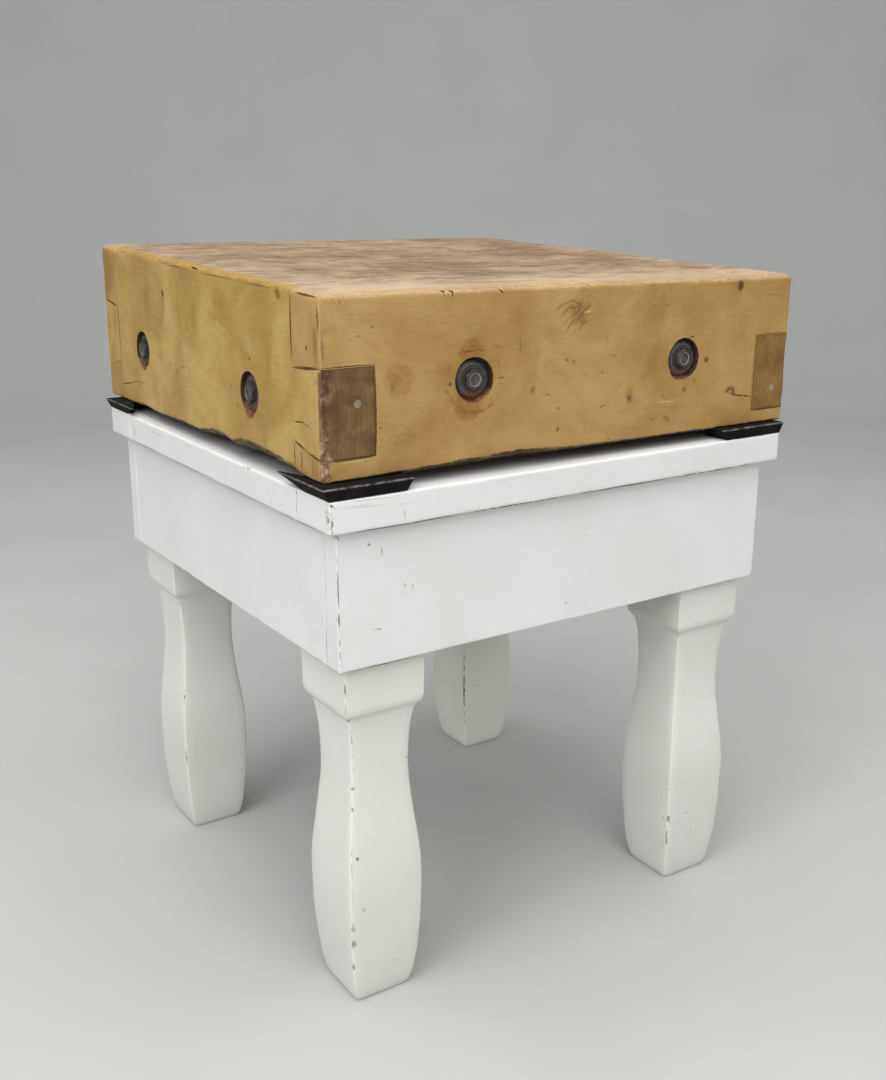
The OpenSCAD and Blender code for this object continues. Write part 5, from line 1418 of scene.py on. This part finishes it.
def plank(name, lo, hi, cell, mat, r, seed, node, cutters=(), keep=(), dents=(), chips=(), extra=None):
    bm, cuts = dense_box(lo, hi, cell)
    me = to_mesh(bm)
    me.materials.append(MAT[mat])
    if cutters:
        me = cut(me, cutters)
    bm = bmesh.new()
    bm.from_mesh(me)
    bmesh.ops.triangulate(bm, faces=[f for f in bm.faces if len(f.verts) > 4])
    bm_slice(bm, cuts)
    bm.to_mesh(me)
    bm.free()
    P = coords(me)
    add_vec(me, "bp", P)
    Q, near = edge_wear(P, lo, hi, r, seed, keep=keep)
    Q = face_dent(Q, lo, hi, seed)
    wear = np.zeros(len(P))
    for (cx, cy, cz), rad, dep in list(dents) + list(chips):
        d = np.linalg.norm(P - np.array((cx, cy, cz)), axis=1)
        w = smooth(rad, rad * 0.2, d) * (0.8 + 0.5 * noise3(P, 4.0, seed + 9))
        mid = (np.array(lo) + np.array(hi)) / 2
        size = (np.array(hi) - np.array(lo)) / 2
        rel = (np.array((cx, cy, cz)) - mid) / size
        into = -np.where(np.abs(rel) > 0.93, np.sign(rel), 0.0)
        L = np.linalg.norm(into)
        if L > 0:
            Q = Q + (w * dep)[:, None] * (into / L)[None, :]
        wear = np.maximum(wear, w * min(1.0, dep / 1.2))
    add_val(me, "edge", near)
    add_val(me, "wear", wear)
    # 1 on the sides turned to the inside of the frame
    cx, cy = (lo[0] + hi[0]) / 2, (lo[1] + hi[1]) / 2
    if abs(cy) > abs(cx):
        ins = P[:, 1] * np.sign(cy) - min(abs(lo[1]), abs(hi[1]))
        ends = (abs(lo[0]) - np.abs(P[:, 0]))
    else:
        ins = P[:, 0] * np.sign(cx) - min(abs(lo[0]), abs(hi[0]))
        ends = 1000.0
    add_val(me, "inner", smooth(9.0, 0.2, ins) * smooth(4.0, 30.0, ends) * smooth(FRAME_Z - 0.3, FRAME_Z - 5.0, P[:, 2]))
    if extra is not None:
        Q = extra(P, Q)
    set_coords(me, stand_world(Q))
    return finish_piece(name, me, "stand", [node] if node else None)


def disc_cutter(center, axis, r, depth, n=28, mat="paint_x"):
    """A short cylinder to sink a screw's head: axis is the outward direction, as +x, -y and so on."""
    ax = "xyz".index(axis[1])
    sg = 1.0 if axis[0] == "+" else -1.0
    rings = []
    for o in (-depth, 2.0):
        ring = []
        for i in range(n):
            th = 2 * math.pi * i / n
            p = [0.0, 0.0, 0.0]
            p[ax] = center[ax] + sg * o
            p[(ax + 1) % 3] = center[(ax + 1) % 3] + r * math.cos(th)
            p[(ax + 2) % 3] = center[(ax + 2) % 3] + r * math.sin(th)
            ring.append(tuple(p))
        rings.append(ring)
    me = to_mesh(bm_loft(rings))
    me.materials.append(MAT[mat])
    return me


# top frame
RAIL_SCREWS = [-110.0, 0.0, 110.0]
IRON_SCREWS = [(22.0, 25.0), (70.0, 25.0), (8.0, 46.0)]


RAILS = {
    "front": ((-300.0, -300.0, RAIL_Z), (300.0, -232.0, FRAME_Z)),
    "back": ((-300.0, 232.0, RAIL_Z), (300.0, 300.0, FRAME_Z)),
    "left": ((-300.0, -231.9, RAIL_Z), (-232.0, 231.9, FRAME_Z)),
    "right": ((232.0, -231.9, RAIL_Z), (300.0, 231.9, FRAME_Z)),
}
Z0 = FRAME_Z
RAIL_CHIPS = {
    "front": [((-300, -294, Z0 - 3), 3.2, 0.7), ((-240, -300, Z0), 4, 0.3), ((-60, -300, Z0), 5, 0.3),
              ((90, -300, Z0), 4, 0.3), ((200, -300, Z0 - 33), 4, 0.3), ((298, -300, Z0 - 20), 3, 0.4), ((-298, -300, Z0 - 32), 3.2, 0.7)],
    "left": [((-300, -176, Z0 - 6), 3.2, 0.7), ((-300, -183, Z0 - 20), 2.4, 0.5), ((-300, -120, Z0), 6, 0.9), ((-300, -60, Z0), 5, 0.3),
             ((-300, 60, Z0), 5, 0.35), ((-300, 140, Z0 - 30), 5, 0.3), ((-300, 205, Z0 - 1), 4, 0.4)],
    "back": [((-100, 300, Z0), 8, 0.8), ((140, 300, Z0 - 3), 6, 1.0)],
    "right": [((300, -100, Z0), 8, 0.9), ((300, 90, Z0 - 33), 7, 0.8)],
}
for k, (lo, hi) in RAILS.items():
    inside = lambda x, y, lo=lo, hi=hi: lo[0] < x < hi[0] and lo[1] < y < hi[1]
    keep = {"front": (), "back": (), "left": ("-y", "+y"), "right": ("-y", "+y")}[k]
    # the screws' sunk heads are filled over and painted: only low swellings are left
    heads = [(px, py) for q in RAIL_SCREWS for px, py in ((q, -273.0), (q, 273.0), (-273.0, q), (273.0, q)) if inside(px, py)]

    def fill(P, Q, heads=heads):
        for px, py in heads:
            w = smooth(11.0, 6.5, np.hypot(P[:, 0] - px, P[:, 1] - py)) * (P[:, 2] > FRAME_Z - 0.4)
            Q[:, 2] = Q[:, 2] + w * (FRAME_Z - 0.06 - Q[:, 2])
        return Q

    plank(k + "_top_rail_painted", lo, hi, 5.0, {"front": "paint_front_rail", "left": "paint_left_rail", "back": "paint_x", "right": "paint_y"}[k], 2.6,
          {"front": 101, "back": 111, "left": 121, "right": 131}[k], k + "_top_rail",
          (), keep, chips=RAIL_CHIPS[k], extra=fill)

# aprons
APRON_SCREWS_X = [(243.0, 115.0), (207.0, 72.0), (243.0, 33.0)]
APRON_SCREWS_Y = [(236.0, 105.0), (204.0, 71.0), (235.0, 24.0)]
APRONS = {
    "front": ((-286.0, -286.0, APRON_Z), (286.0, -260.0, RAIL_Z)),
    "back": ((-286.0, 260.0, APRON_Z), (286.0, 286.0, RAIL_Z)),
    "left": ((-286.0, -259.9, APRON_Z), (-260.0, 259.9, RAIL_Z)),
    "right": ((260.0, -259.9, APRON_Z), (286.0, 259.9, RAIL_Z)),
}


def apron_places(k):
    out = []
    for sg in (-1, 1):
        for a, z in (APRON_SCREWS_X if k in ("front", "back") else APRON_SCREWS_Y):
            d = {"front": (sg * a, -286.0, APRON_Z + z), "back": (-sg * a, 286.0, APRON_Z + z),
                 "left": (-286.0, sg * a, APRON_Z + z), "right": (286.0, -sg * a, APRON_Z + z)}[k]
            out.append(d)
    return out


APRON_CHIPS = {
    "front": [((-4.5, -286, 420), 3, 0.3),
              ((286, -286, 402), 4, 0.7), ((100, -286, 400), 6, 0.3)],
    "left": [((-286, -240, 400), 6, 0.8), ((-286, 100, 400), 8, 0.7), ((-286, 0, 470), 5, 0.4)],
    "back": [((60, 286, 400), 8, 0.8)], "right": [((286, 40, 400), 8, 0.8)],
}
for k, (lo, hi) in APRONS.items():
    axis = {"front": "-y", "back": "+y", "left": "-x", "right": "+x"}[k]
    cutters = [disc_cutter(p, axis, 5.0, 1.5, mat="paint_x") for p in apron_places(k)]
    keep = ("+z",) if k in ("front", "back") else ("+z", "-y", "+y")
    plank(k + "_apron_painted", lo, hi, 6.0, {"front": "paint_front_apron", "left": "paint_left_apron", "back": "paint_x", "right": "paint_y"}[k], 1.7,
          {"front": 201, "back": 211, "left": 221, "right": 231}[k], k + "_apron", cutters, keep, chips=APRON_CHIPS[k])

# fillings over the sunk screw heads, slightly proud or low and unevenly smoothed
P, F = [], []
rng = np.random.default_rng(9)
for k in APRONS:
    ax = 1 if k in ("front", "back") else 0
    sg = -1.0 if k in ("front", "left") else 1.0
    for p in apron_places(k):
        n = 28
        rise = rng.uniform(-0.22, -0.05)
        square, lean = rng.uniform(0.01, 0.05), rng.uniform(0, 6.28)
        tilt = rng.uniform(-0.02, 0.02, 2)
        base = len(P)
        prof = [(4.98, -1.4), (4.98, rise - 0.10), (4.5, rise - 0.03), (3.4, rise), (1.6, rise - 0.02)]
        for r, o in prof:
            for i in range(n):
                th = 2 * math.pi * i / n
                rr = r * (1.0 - square * (1 + math.cos(4 * th + lean)) * 0.5)
                u, v = rr * math.cos(th), rr * math.sin(th)
                oo = o + (u * tilt[0] + v * tilt[1] if o > -1 else 0.0)
                q = [0.0, 0.0, p[2] + v]
                q[ax] = p[ax] + sg * oo
                q[1 - ax] = p[1 - ax] + u
                P.append(tuple(q))
        for a in range(len(prof) - 1):
            for i in range(n):
                j = (i + 1) % n
                F.append((base + a * n + i, base + a * n + j, base + (a + 1) * n + j, base + (a + 1) * n + i))
        F.append(tuple(base + i for i in reversed(range(n))))
        F.append(tuple(base + (len(prof) - 1) * n + i for i in range(n)))
me = bpy.data.meshes.new("apron_screw_fillings")
me.from_pydata(P, [], F)
bm = bmesh.new()
bm.from_mesh(me)
bmesh.ops.recalc_face_normals(bm, faces=bm.faces[:])
bm.to_mesh(me)
bm.free()
me.materials.append(MAT["paint_y"])
P = coords(me)
add_vec(me, "bp", P)
add_val(me, "edge", np.full(len(P), 0.25))
add_val(me, "wear", np.full(len(P), 0.12))
add_val(me, "inner", np.zeros(len(P)))
set_coords(me, stand_world(P))
finish_piece("apron_screw_fillings", me, "stand", None)


# legs
def cove_half(t):
    return 36 + 8.5 * (1 - math.sqrt(max(0.0, 1 - ((127 - t) / 71.0) ** 2)))


def leg_half(z):
    """Half width of a leg at height z: cap, soft shoulder, cove, belly and foot."""
    t = 400.0 - z
    if t <= 48.0:
        return 47.5
    if t <= 64.0:
        s = (t - 56.0) / 16.0 + 0.5
        return 47.5 - (47.5 - cove_half(max(t, 56.0))) * s * s * (3 - 2 * s)
    if t <= 127.0:
        return cove_half(t)
    if t <= 257.0:
        s = (t - 127) / 130.0
        return 36 + 9.7 * s * s * (3 - 2 * s)
    return 31 + 14.7 * math.sqrt(max(0.0, 1 - ((t - 257) / 143.0) ** 2))


def leg_ring(cx0, cy0, cx1, cy1, z, r, n=15, arc=3):
    """Square ring with rounded corners, starting at the low corner."""
    pts = []
    corners = [(cx1, cy0, -90), (cx1, cy1, 0), (cx0, cy1, 90), (cx0, cy0, 180)]
    for x, y, a0 in corners:
        sx, sy = (1 if x == cx1 else -1), (1 if y == cy1 else -1)
        mx, my = x - sx * r, y - sy * r
        for i in range(arc + 1):
            th = math.radians(a0 + 90.0 * i / arc)
            pts.append((mx + r * math.cos(th), my + r * math.sin(th), z))
        # straight side towards the next corner
        nx, ny, na = corners[(corners.index((x, y, a0)) + 1) % 4]
        ex, ey = mx + r * math.cos(math.radians(a0 + 90)), my + r * math.sin(math.radians(a0 + 90))
        sx2, sy2 = (1 if nx == cx1 else -1), (1 if ny == cy1 else -1)
        bx2 = nx - sx2 * r + r * math.cos(math.radians(na))
        by2 = ny - sy2 * r + r * math.sin(math.radians(na))
        for i in range(1, n):
            u = i / n
            pts.append((ex + (bx2 - ex) * u, ey + (by2 - ey) * u, z))
    return pts


LEG_MARKS = {
    "front_left": dict(chips=[((-1, -1), 374, 1.4, 0.3), ((-1, -1), 338, 1.8, 0.5), ((-1, -1), 258, 2.4, 0.5), ((-1, -1), 236, 2.0, 0.5),
                              ((-1, -1), 98, 2.8, 0.6), ((-1, -1), 80, 2.6, 0.7), ((-1, -1), 50, 3.0, 0.6)]),
    "front_right": dict(chips=[((-1, -1), 92, 3.4, 0.9), ((-1, -1), 58, 2.6, 0.6), ((1, -1), 300, 2.4, 0.5)]),
    "back_left": dict(chips=[((-1, -1), 200, 2.4, 0.5), ((-1, -1), 112, 2.6, 0.6), ((-1, 1), 250, 2.6, 0.6)]),
    "back_right": dict(chips=[((-1, -1), 140, 2.6, 0.7), ((-1, -1), 104, 3.0, 0.8), ((-1, -1), 80, 2.6, 0.7)]),
}
for li, (name, sx, sy) in enumerate((("front_left", -1, -1), ("front_right", 1, -1), ("back_left", -1, 1), ("back_right", 1, 1))):
    cx, cy = sx * 227.0, sy * 227.0
    zs = [0.0, 0.6, 2.0, 5.0, 9.0] + [13.0 + 4.3 * i for i in range(int((333 - 13) / 4.3) + 1)]
    zs += [335.0 + 1.3 * i for i in range(15)] + [355.5, 359.0, 363.0, 368.0, 374.0, 380.0, 385.5, 390, 395, 398, 399.5, 400.0]
    zs = sorted(set(zs))
    rings = []
    for z in zs:
        h = leg_half(z)
        if z == 0.0:
            h -= 0.8
        if z == 400.0:
            h -= 0.3
        r = 2.2 if z < 336.0 else 1.3
        rings.append(leg_ring(cx - h, cy - h, cx + h, cy + h, z, r))
    # the upper end, cut back inside the aprons
    a, b = 179.5, 259.9
    lo_x, hi_x = (-b, -a) if sx < 0 else (a, b)
    lo_y, hi_y = (-b, -a) if sy < 0 else (a, b)
    for z in (400.4, 403.0, 430.0, 470.0, 510.0, 544.6):
        rings.append(leg_ring(lo_x, lo_y, hi_x, hi_y, z, 1.3))
    bm = bm_loft(rings)
    me = to_mesh(bm)
    me.materials.append(MAT["paint_leg_" + name])
    P = coords(me)
    add_vec(me, "bp", P + np.array((0.0, 0.0, 37.0 * li)))
    rel = P - np.array((cx, cy, 0.0))
    half = np.interp(P[:, 2], zs, [leg_half(z) for z in zs])
    # distance from the outer front arris round the leg, and height
    uu = np.where(rel[:, 1] + half < 2.4, rel[:, 0] + half, np.where(rel[:, 0] + half < 2.4, -(rel[:, 1] + half), 300.0))
    add_vec(me, "uz", np.stack([uu, P[:, 2], 0 * uu], -1))
    Q = P.copy()
    low = P[:, 2] < 400.2
    ax, ay = half - np.abs(rel[:, 0]), half - np.abs(rel[:, 1])
    # softer, uneven arrises
    q0 = np.stack([np.sign(rel[:, 0]) * 300 + 0 * half, np.sign(rel[:, 1]) * 300 + 0 * half, P[:, 2] + 500 * li], -1)
    soft = 5.0 + 1.6 * fbm(q0, 60.0, 301, 2) + 0.6 * noise3(q0, 14.0, 302)
    soft = soft * smooth(400, 300, P[:, 2]) + 0.8
    A, B = np.maximum(0, 1 - ax / soft), np.maximum(0, 1 - ay / soft)
    f = np.maximum(A, B) / np.maximum(np.hypot(A, B), 1e-9)
    on = (A > 0) & (B > 0) & low
    Q[:, 0] = np.where(on, cx + np.sign(rel[:, 0]) * (half - soft * (1 - A * f)), Q[:, 0])
    Q[:, 1] = np.where(on, cy + np.sign(rel[:, 1]) * (half - soft * (1 - B * f)), Q[:, 1])
    # faces sawn and planed by hand
    for axi, d, other in ((0, ax, 1), (1, ay, 0)):
        q = P.copy()
        q[:, axi] = 400.0 * np.sign(rel[:, axi])
        w = smooth(7.0, 0.0, d) * low
        Q[:, axi] -= np.sign(rel[:, axi]) * w * (0.30 + 0.30 * fbm(q, (80.0, 80.0, 120.0), 311 + li, 2) + 0.05 * noise3(q, 16.0, 317 + li))
    wear = np.zeros(len(P))
    for (qx, qy), z, rad, dep in LEG_MARKS[name]["chips"]:
        c = np.array((cx + qx * leg_half(z), cy + qy * leg_half(z), z))
        d = np.linalg.norm((P - c) * np.array((1.0, 1.0, 0.55)), axis=1)
        w = smooth(rad * 1.4, rad * 0.3, d)
        Q[:, 0] -= qx * w * dep * 0.75
        Q[:, 1] -= qy * w * dep * 0.75
        wear = np.maximum(wear, w)
    foot = smooth(26, 3, P[:, 2]) * 0.22
    # the upper end inside the aprons is unpainted wood, kept dark as painted shade
    add_val(me, "inner", smooth(401.0, 404.0, coords(me)[:, 2]))
    add_val(me, "edge", smooth(3.4, 0.6, np.maximum(ax, ay)) * low)
    add_val(me, "wear", np.maximum(wear, foot))
    Q[:, 2] = np.maximum(Q[:, 2], 0.0)
    set_coords(me, stand_world(Q))
    bm = bmesh.new()
    bm.from_mesh(me)
    bmesh.ops.remove_doubles(bm, verts=bm.verts[:], dist=1e-6)
    bmesh.ops.dissolve_degenerate(bm, dist=1e-7, edges=bm.edges[:])
    bmesh.ops.recalc_face_normals(bm, faces=bm.faces[:])
    bm.to_mesh(me)
    bm.free()
    finish_piece(name + "_leg_painted", me, "stand", [name + "_leg"])


# ------------------------------------------------------------------
# carried-over nodes: irons, rods, washers, nuts, nails and screws
# ------------------------------------------------------------------
def dress(node, mat, bevel=0.0, segments=2):
    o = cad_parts[node]
    o.data.materials.clear()
    o.data.materials.append(MAT[mat])
    if bevel:
        w = o.modifiers.new("weld", "WELD")
        w.merge_threshold = 1e-5
        b = o.modifiers.new("bevel", "BEVEL")
        b.width = bevel * 0.001
        b.segments = segments
        b.limit_method = "ANGLE"
        b.angle_limit = math.radians(40)
        b.harden_normals = False


IRON_LOW = [(-300.0, -300.0), (-214.0, -300.0), (-214.0, -266.0), (-280.0, -266.0), (-286.5, -248.0), (-300.0, -248.0)]
IRON_HIGH = [(-306.5, -300.0), (-206.0, -300.0), (-206.0, -266.0), (-280.0, -266.0), (-302.5, -204.0), (-306.5, -204.0)]


def iron_screw_cutter(x, y):
    rings = []
    for z, r in ((FRAME_Z - 2.0, 2.75), (587.0, 2.75), (589.9, 5.35), (592.0, 5.5)):
        rings.append([(x + r * math.cos(t0), y + r * math.sin(t0), z) for t0 in np.linspace(0, 2 * math.pi, 28, endpoint=False)])
    me = to_mesh(bm_loft(rings))
    me.materials.append(MAT["iron"])
    return me


for n, cx, cy in (("front_left", -1, -1), ("front_right", 1, -1), ("back_left", -1, 1), ("back_right", 1, 1)):
    flip = lambda p: (-cx * p[0], -cy * p[1])
    bm = bm_loft([[flip(p) + (578.0,) for p in IRON_LOW], [flip(p) + (590.0,) for p in IRON_HIGH]])
    bm_bevel(bm, 0.9, 2)
    me = to_mesh(bm)
    me.materials.append(MAT["iron"])
    me = cut(me, [iron_screw_cutter(*flip((-300.0 + a, -300.0 + b))) for a, b in IRON_SCREWS])
    bm = bmesh.new()
    bm.from_mesh(me)
    bmesh.ops.triangulate(bm, faces=[f for f in bm.faces if len(f.verts) > 4])
    bm_slice(bm, [("x", steps(-307, 307, 5.0)), ("y", steps(-300, 300, 5.0)), ("z", [580.0, 582.5, 585.0, 587.5, 589.0])])
    bm.to_mesh(me)
    bm.free()
    P = coords(me)
    seed = 401 + 7 * (cx + 2 * cy)
    # small dents and a rolled, uneven surface; never outwards
    lean = 6.5 * np.clip((P[:, 2] - 578.0) / 12.0, 0, 1)
    dx = 300.0 + lean - np.abs(P[:, 0])
    dy = 300.0 - np.abs(P[:, 1])
    Q = P.copy()
    wx, wy = smooth(2.2, 0.2, dx), smooth(2.2, 0.2, dy)
    Q[:, 0] -= np.sign(P[:, 0]) * wx * (0.22 + 0.30 * np.clip(fbm(P, 24.0, seed, 2) + 0.2, 0, 1) + 0.5 * np.clip(noise3(P, 9.0, seed + 3) - 0.55, 0, 1))
    Q[:, 1] -= np.sign(P[:, 1]) * wy * (0.22 + 0.30 * np.clip(fbm(P, 24.0, seed + 1, 2) + 0.2, 0, 1) + 0.5 * np.clip(noise3(P, 9.0, seed + 4) - 0.55, 0, 1))
    zt2 = smooth(2.0, 0.2, 590.0 - P[:, 2]) * smooth(4.0, 0.0, np.minimum(dx, dy))
    Q[:, 2] -= zt2 * (0.15 + 0.35 * np.clip(noise3(P, 14.0, seed + 5), 0, 1))
    # painted highlight, partly worn metal, along the top outer arris
    rim = smooth(2.3, 0.7, 590.0 - P[:, 2]) * smooth(2.3, 0.7, np.minimum(dx, dy))
    add_val(me, "rim", rim)
    set_coords(me, stand_world(Q))
    finish_piece(n + "_corner_iron_worn", me, "stand", [n + "_corner_iron"], 24.0)


def lathe_rows(rows, n, ax):
    """Points of rings about the outward axis ax = (face, sign, along, height); rows hold (radius function or number, outward)."""
    face, sg, a, h = ax
    P = []
    for r, o in rows:
        for i in range(n):
            th = 2 * math.pi * i / n
            rr = r(th) if callable(r) else r
            u, v = rr * math.cos(th), rr * math.sin(th)
            out = sg * (H + o)
            P.append((a + u, out, h + v) if face == "y" else (out, a + u, h + v))
    return P


def closed_rows(m, n, base, ring=True):
    """Faces between m rings of n points; the last ring joins the first when ring is set."""
    F = []
    for k in range(m if ring else m - 1):
        k2 = (k + 1) % m
        for i in range(n):
            j = (i + 1) % n
            F.append((base + k * n + i, base + k * n + j, base + k2 * n + j, base + k2 * n + i))
    return F


def round_parts(name, rows_of, mat, node, seed, n=72):
    P, F, RIM_HIGHLIGHT, LOW = [], [], [], []
    rng = np.random.default_rng(seed)
    for ax in BOLTS:
        rows, rim_highlights = rows_of(ax, rng)
        base = len(P)
        pts = lathe_rows(rows, n, ax)
        P += pts
        F += closed_rows(len(rows), n, base)
        for (r, o), k in zip(rows, rim_highlights):
            RIM_HIGHLIGHT += [k] * n
        hh = np.array(pts)[:, 2]
        LOW += list(smooth(4.0, 17.0, ax[3] - hh))
    me = bpy.data.meshes.new(name)
    me.from_pydata(P, [], F)
    bm = bmesh.new()
    bm.from_mesh(me)
    bmesh.ops.recalc_face_normals(bm, faces=bm.faces[:])
    bm.to_mesh(me)
    bm.free()
    me.materials.append(MAT[mat])
    P = np.array(P)
    add_val(me, "rim", np.array(RIM_HIGHLIGHT))
    add_val(me, "low", np.array(LOW))
    set_coords(me, block_world(P))
    return finish_piece(name, me, "block", [node], 28.0)


def washer_rows(ax, rng):
    """A dished, worn washer: a flat middle, a turned groove and a sloping, dented rim."""
    ph = rng.uniform(0, 6.28, 4)
    k = rng.uniform(0.0, 0.25)
    edge = lambda r0: (lambda th: r0 + 0.16 * math.sin(2 * th + ph[0]) + 0.10 * math.sin(5 * th + ph[1]) - 0.25 * max(0.0, math.sin(3 * th + ph[2]) - 0.75) * 4)
    rows = [(5.3, -6.45), (edge(19.1), -6.45), (edge(19.25), -6.2), (edge(19.25), -5.4), (edge(18.9), -4.7), (edge(18.2), -4.2 - k), (edge(17.2), -3.6 - k),
            (16.3, -3.25), (15.7, -3.08), (14.6, -3.05), (14.2, -3.2), (13.7, -3.2), (13.3, -3.04), (12.2, -3.02), (11.4, -3.05), (5.3, -3.02)]
    # weights of the painted highlight on the ridges, partly worn metal
    rim_highlights = [0, 0, 0, 0.1, 0.3, 0.2, 0.15, 0.5, 0.75, 0.3, 0.0, 0.0, 0.55, 0.3, 0.0, 0.0]
    return rows, rim_highlights


def nut_rows(ax, rng):
    """A worn hexagon nut with a strong chamfer and a light ring round the rod's end."""
    t0 = rng.uniform(0, math.pi / 3)
    hexr = lambda cap: (lambda th: min(cap, 9.45 / math.cos(((th - t0 * 0 + math.pi / 6) % (math.pi / 3)) - math.pi / 6)))
    rows = [(5.05, -2.98), (hexr(10.3), -2.98), (hexr(10.75), -2.5), (hexr(10.75), -0.1), (hexr(10.3), 0.45), (hexr(9.6), 0.9), (8.8, 1.22), (7.6, 1.38), (6.9, 1.42),
            (6.3, 1.45), (5.8, 1.3), (5.35, 0.75), (5.05, 0.2)]
    # weights of the painted highlight on the chamfer and round the rod's end, partly worn metal
    rim_highlights = [0, 0, 0, 0.2, 0.35, 0.35, 0.2, 0.25, 0.6, 1.0, 0.8, 0.2, 0]
    return rows, rim_highlights


round_parts("tie_rod_washers_worn", washer_rows, "washer", "tie_rod_washers", 61)
round_parts("tie_rod_nuts_worn", nut_rows, "nut", "tie_rod_nuts", 62)
dress("corner_iron_screws", "screw_black")
dress("rail_screws", "nail")
dress("apron_screws", "nail")
dress("long_tie_rods", "rod_steel", 0.5)
dress("cross_tie_rods", "rod_steel", 0.5)
dress("dovetail_nails", "nail", 0.2)

# ------------------------------------------------------------------
# floor, light and camera
# ------------------------------------------------------------------
def backdrop():
    """A pale sheet: floor that curves up into a wall behind the object."""
    d = Vector((math.sin(math.radians(33.36)), math.cos(math.radians(33.36)), 0.0))
    s = Vector((d.y, -d.x, 0.0))
    prof = [(-6.0, 0.0), (-3.0, 0.0), (-1.0, 0.0), (1.0, 0.0), (3.0, 0.0)]
    prof += [(3.0 + 1.6 * math.sin(a), 1.6 * (1 - math.cos(a))) for a in np.linspace(0.12, math.pi / 2, 12)]
    prof += [(4.6, 3.0), (4.6, 4.6)]
    P, F = [], []
    cols = np.linspace(-7.0, 7.0, 15)
    for u, z in prof:
        for v in cols:
            q = d * u + s * float(v)
            P.append((q.x, q.y, z))
    n = len(cols)
    for i in range(len(prof) - 1):
        for j in range(n - 1):
            F.append((i * n + j, i * n + j + 1, (i + 1) * n + j + 1, (i + 1) * n + j))
    me = bpy.data.meshes.new("floor")
    me.from_pydata(P, [], F)
    for p in me.polygons:
        p.use_smooth = True
    return me


me = backdrop()
floor = link(bpy.data.objects.new("floor", me))
t = Tree("pale_floor")
p = t.obj()
n1 = t.noise(p, 3.0, 3.0, 0.5)
t.put(t.bsdf.inputs["Base Color"], t.ramp(n1, [(0.3, rgb(184, 185, 182)), (0.7, rgb(189, 190, 187))]))
t.bsdf.inputs["Roughness"].default_value = 0.85
t.bsdf.inputs["Specular IOR Level"].default_value = 0.2
me.materials.append(t.mat)

scene = bpy.context.scene
world = bpy.data.worlds.new("studio")
scene.world = world
world.use_nodes = True
bg = world.node_tree.nodes["Background"]
bg.inputs[0].default_value = (0.93, 0.96, 1.0, 1.0)
bg.inputs[1].default_value = 0.25


def area(name, loc, target, size, power, colour=(1, 1, 1)):
    d = bpy.data.lights.new(name, "AREA")
    d.shape = "RECTANGLE"
    d.size, d.size_y = size
    d.energy = power
    d.color = colour
    o = link(bpy.data.objects.new(name, d))
    o.location = loc
    o.rotation_euler = (Vector(target) - Vector(loc)).to_track_quat("-Z", "Y").to_euler()
    return o


area("sky_panel", (-0.5, -0.7, 3.6), (0, 0, 0.4), (5.0, 5.0), 178.0, (1.0, 0.995, 0.985))
area("left_panel", (-3.5, -1.5, 2.7), (0, 0, 0.5), (2.6, 1.8), 66.0, (0.99, 0.995, 1.0))
area("front_panel", (-1.3, -3.8, 2.8), (0, 0, 0.5), (2.6, 1.8), 50.0, (1.0, 0.985, 0.965))

cam = bpy.data.cameras.new("camera")
cam.sensor_width = 36.0
cam.lens = 41.116
cam.clip_end = 100.0
co = link(bpy.data.objects.new("camera", cam))
yaw, pitch, roll = math.radians(33.36), math.radians(16.30), math.radians(0.01)
fw = Vector((math.sin(yaw) * math.cos(pitch), math.cos(yaw) * math.cos(pitch), -math.sin(pitch)))
rt = fw.cross(Vector((0, 0, 1))).normalized()
up = rt.cross(fw)
r2, u2 = rt * math.cos(roll) + up * math.sin(roll), -rt * math.sin(roll) + up * math.cos(roll)
co.matrix_world = Matrix(((r2.x, u2.x, -fw.x, -0.82399), (r2.y, u2.y, -fw.y, -1.28966), (r2.z, u2.z, -fw.z, 0.86358), (0, 0, 0, 1)))
scene.camera = co

scene.view_settings.view_transform = "Standard"
scene.view_settings.look = "None"
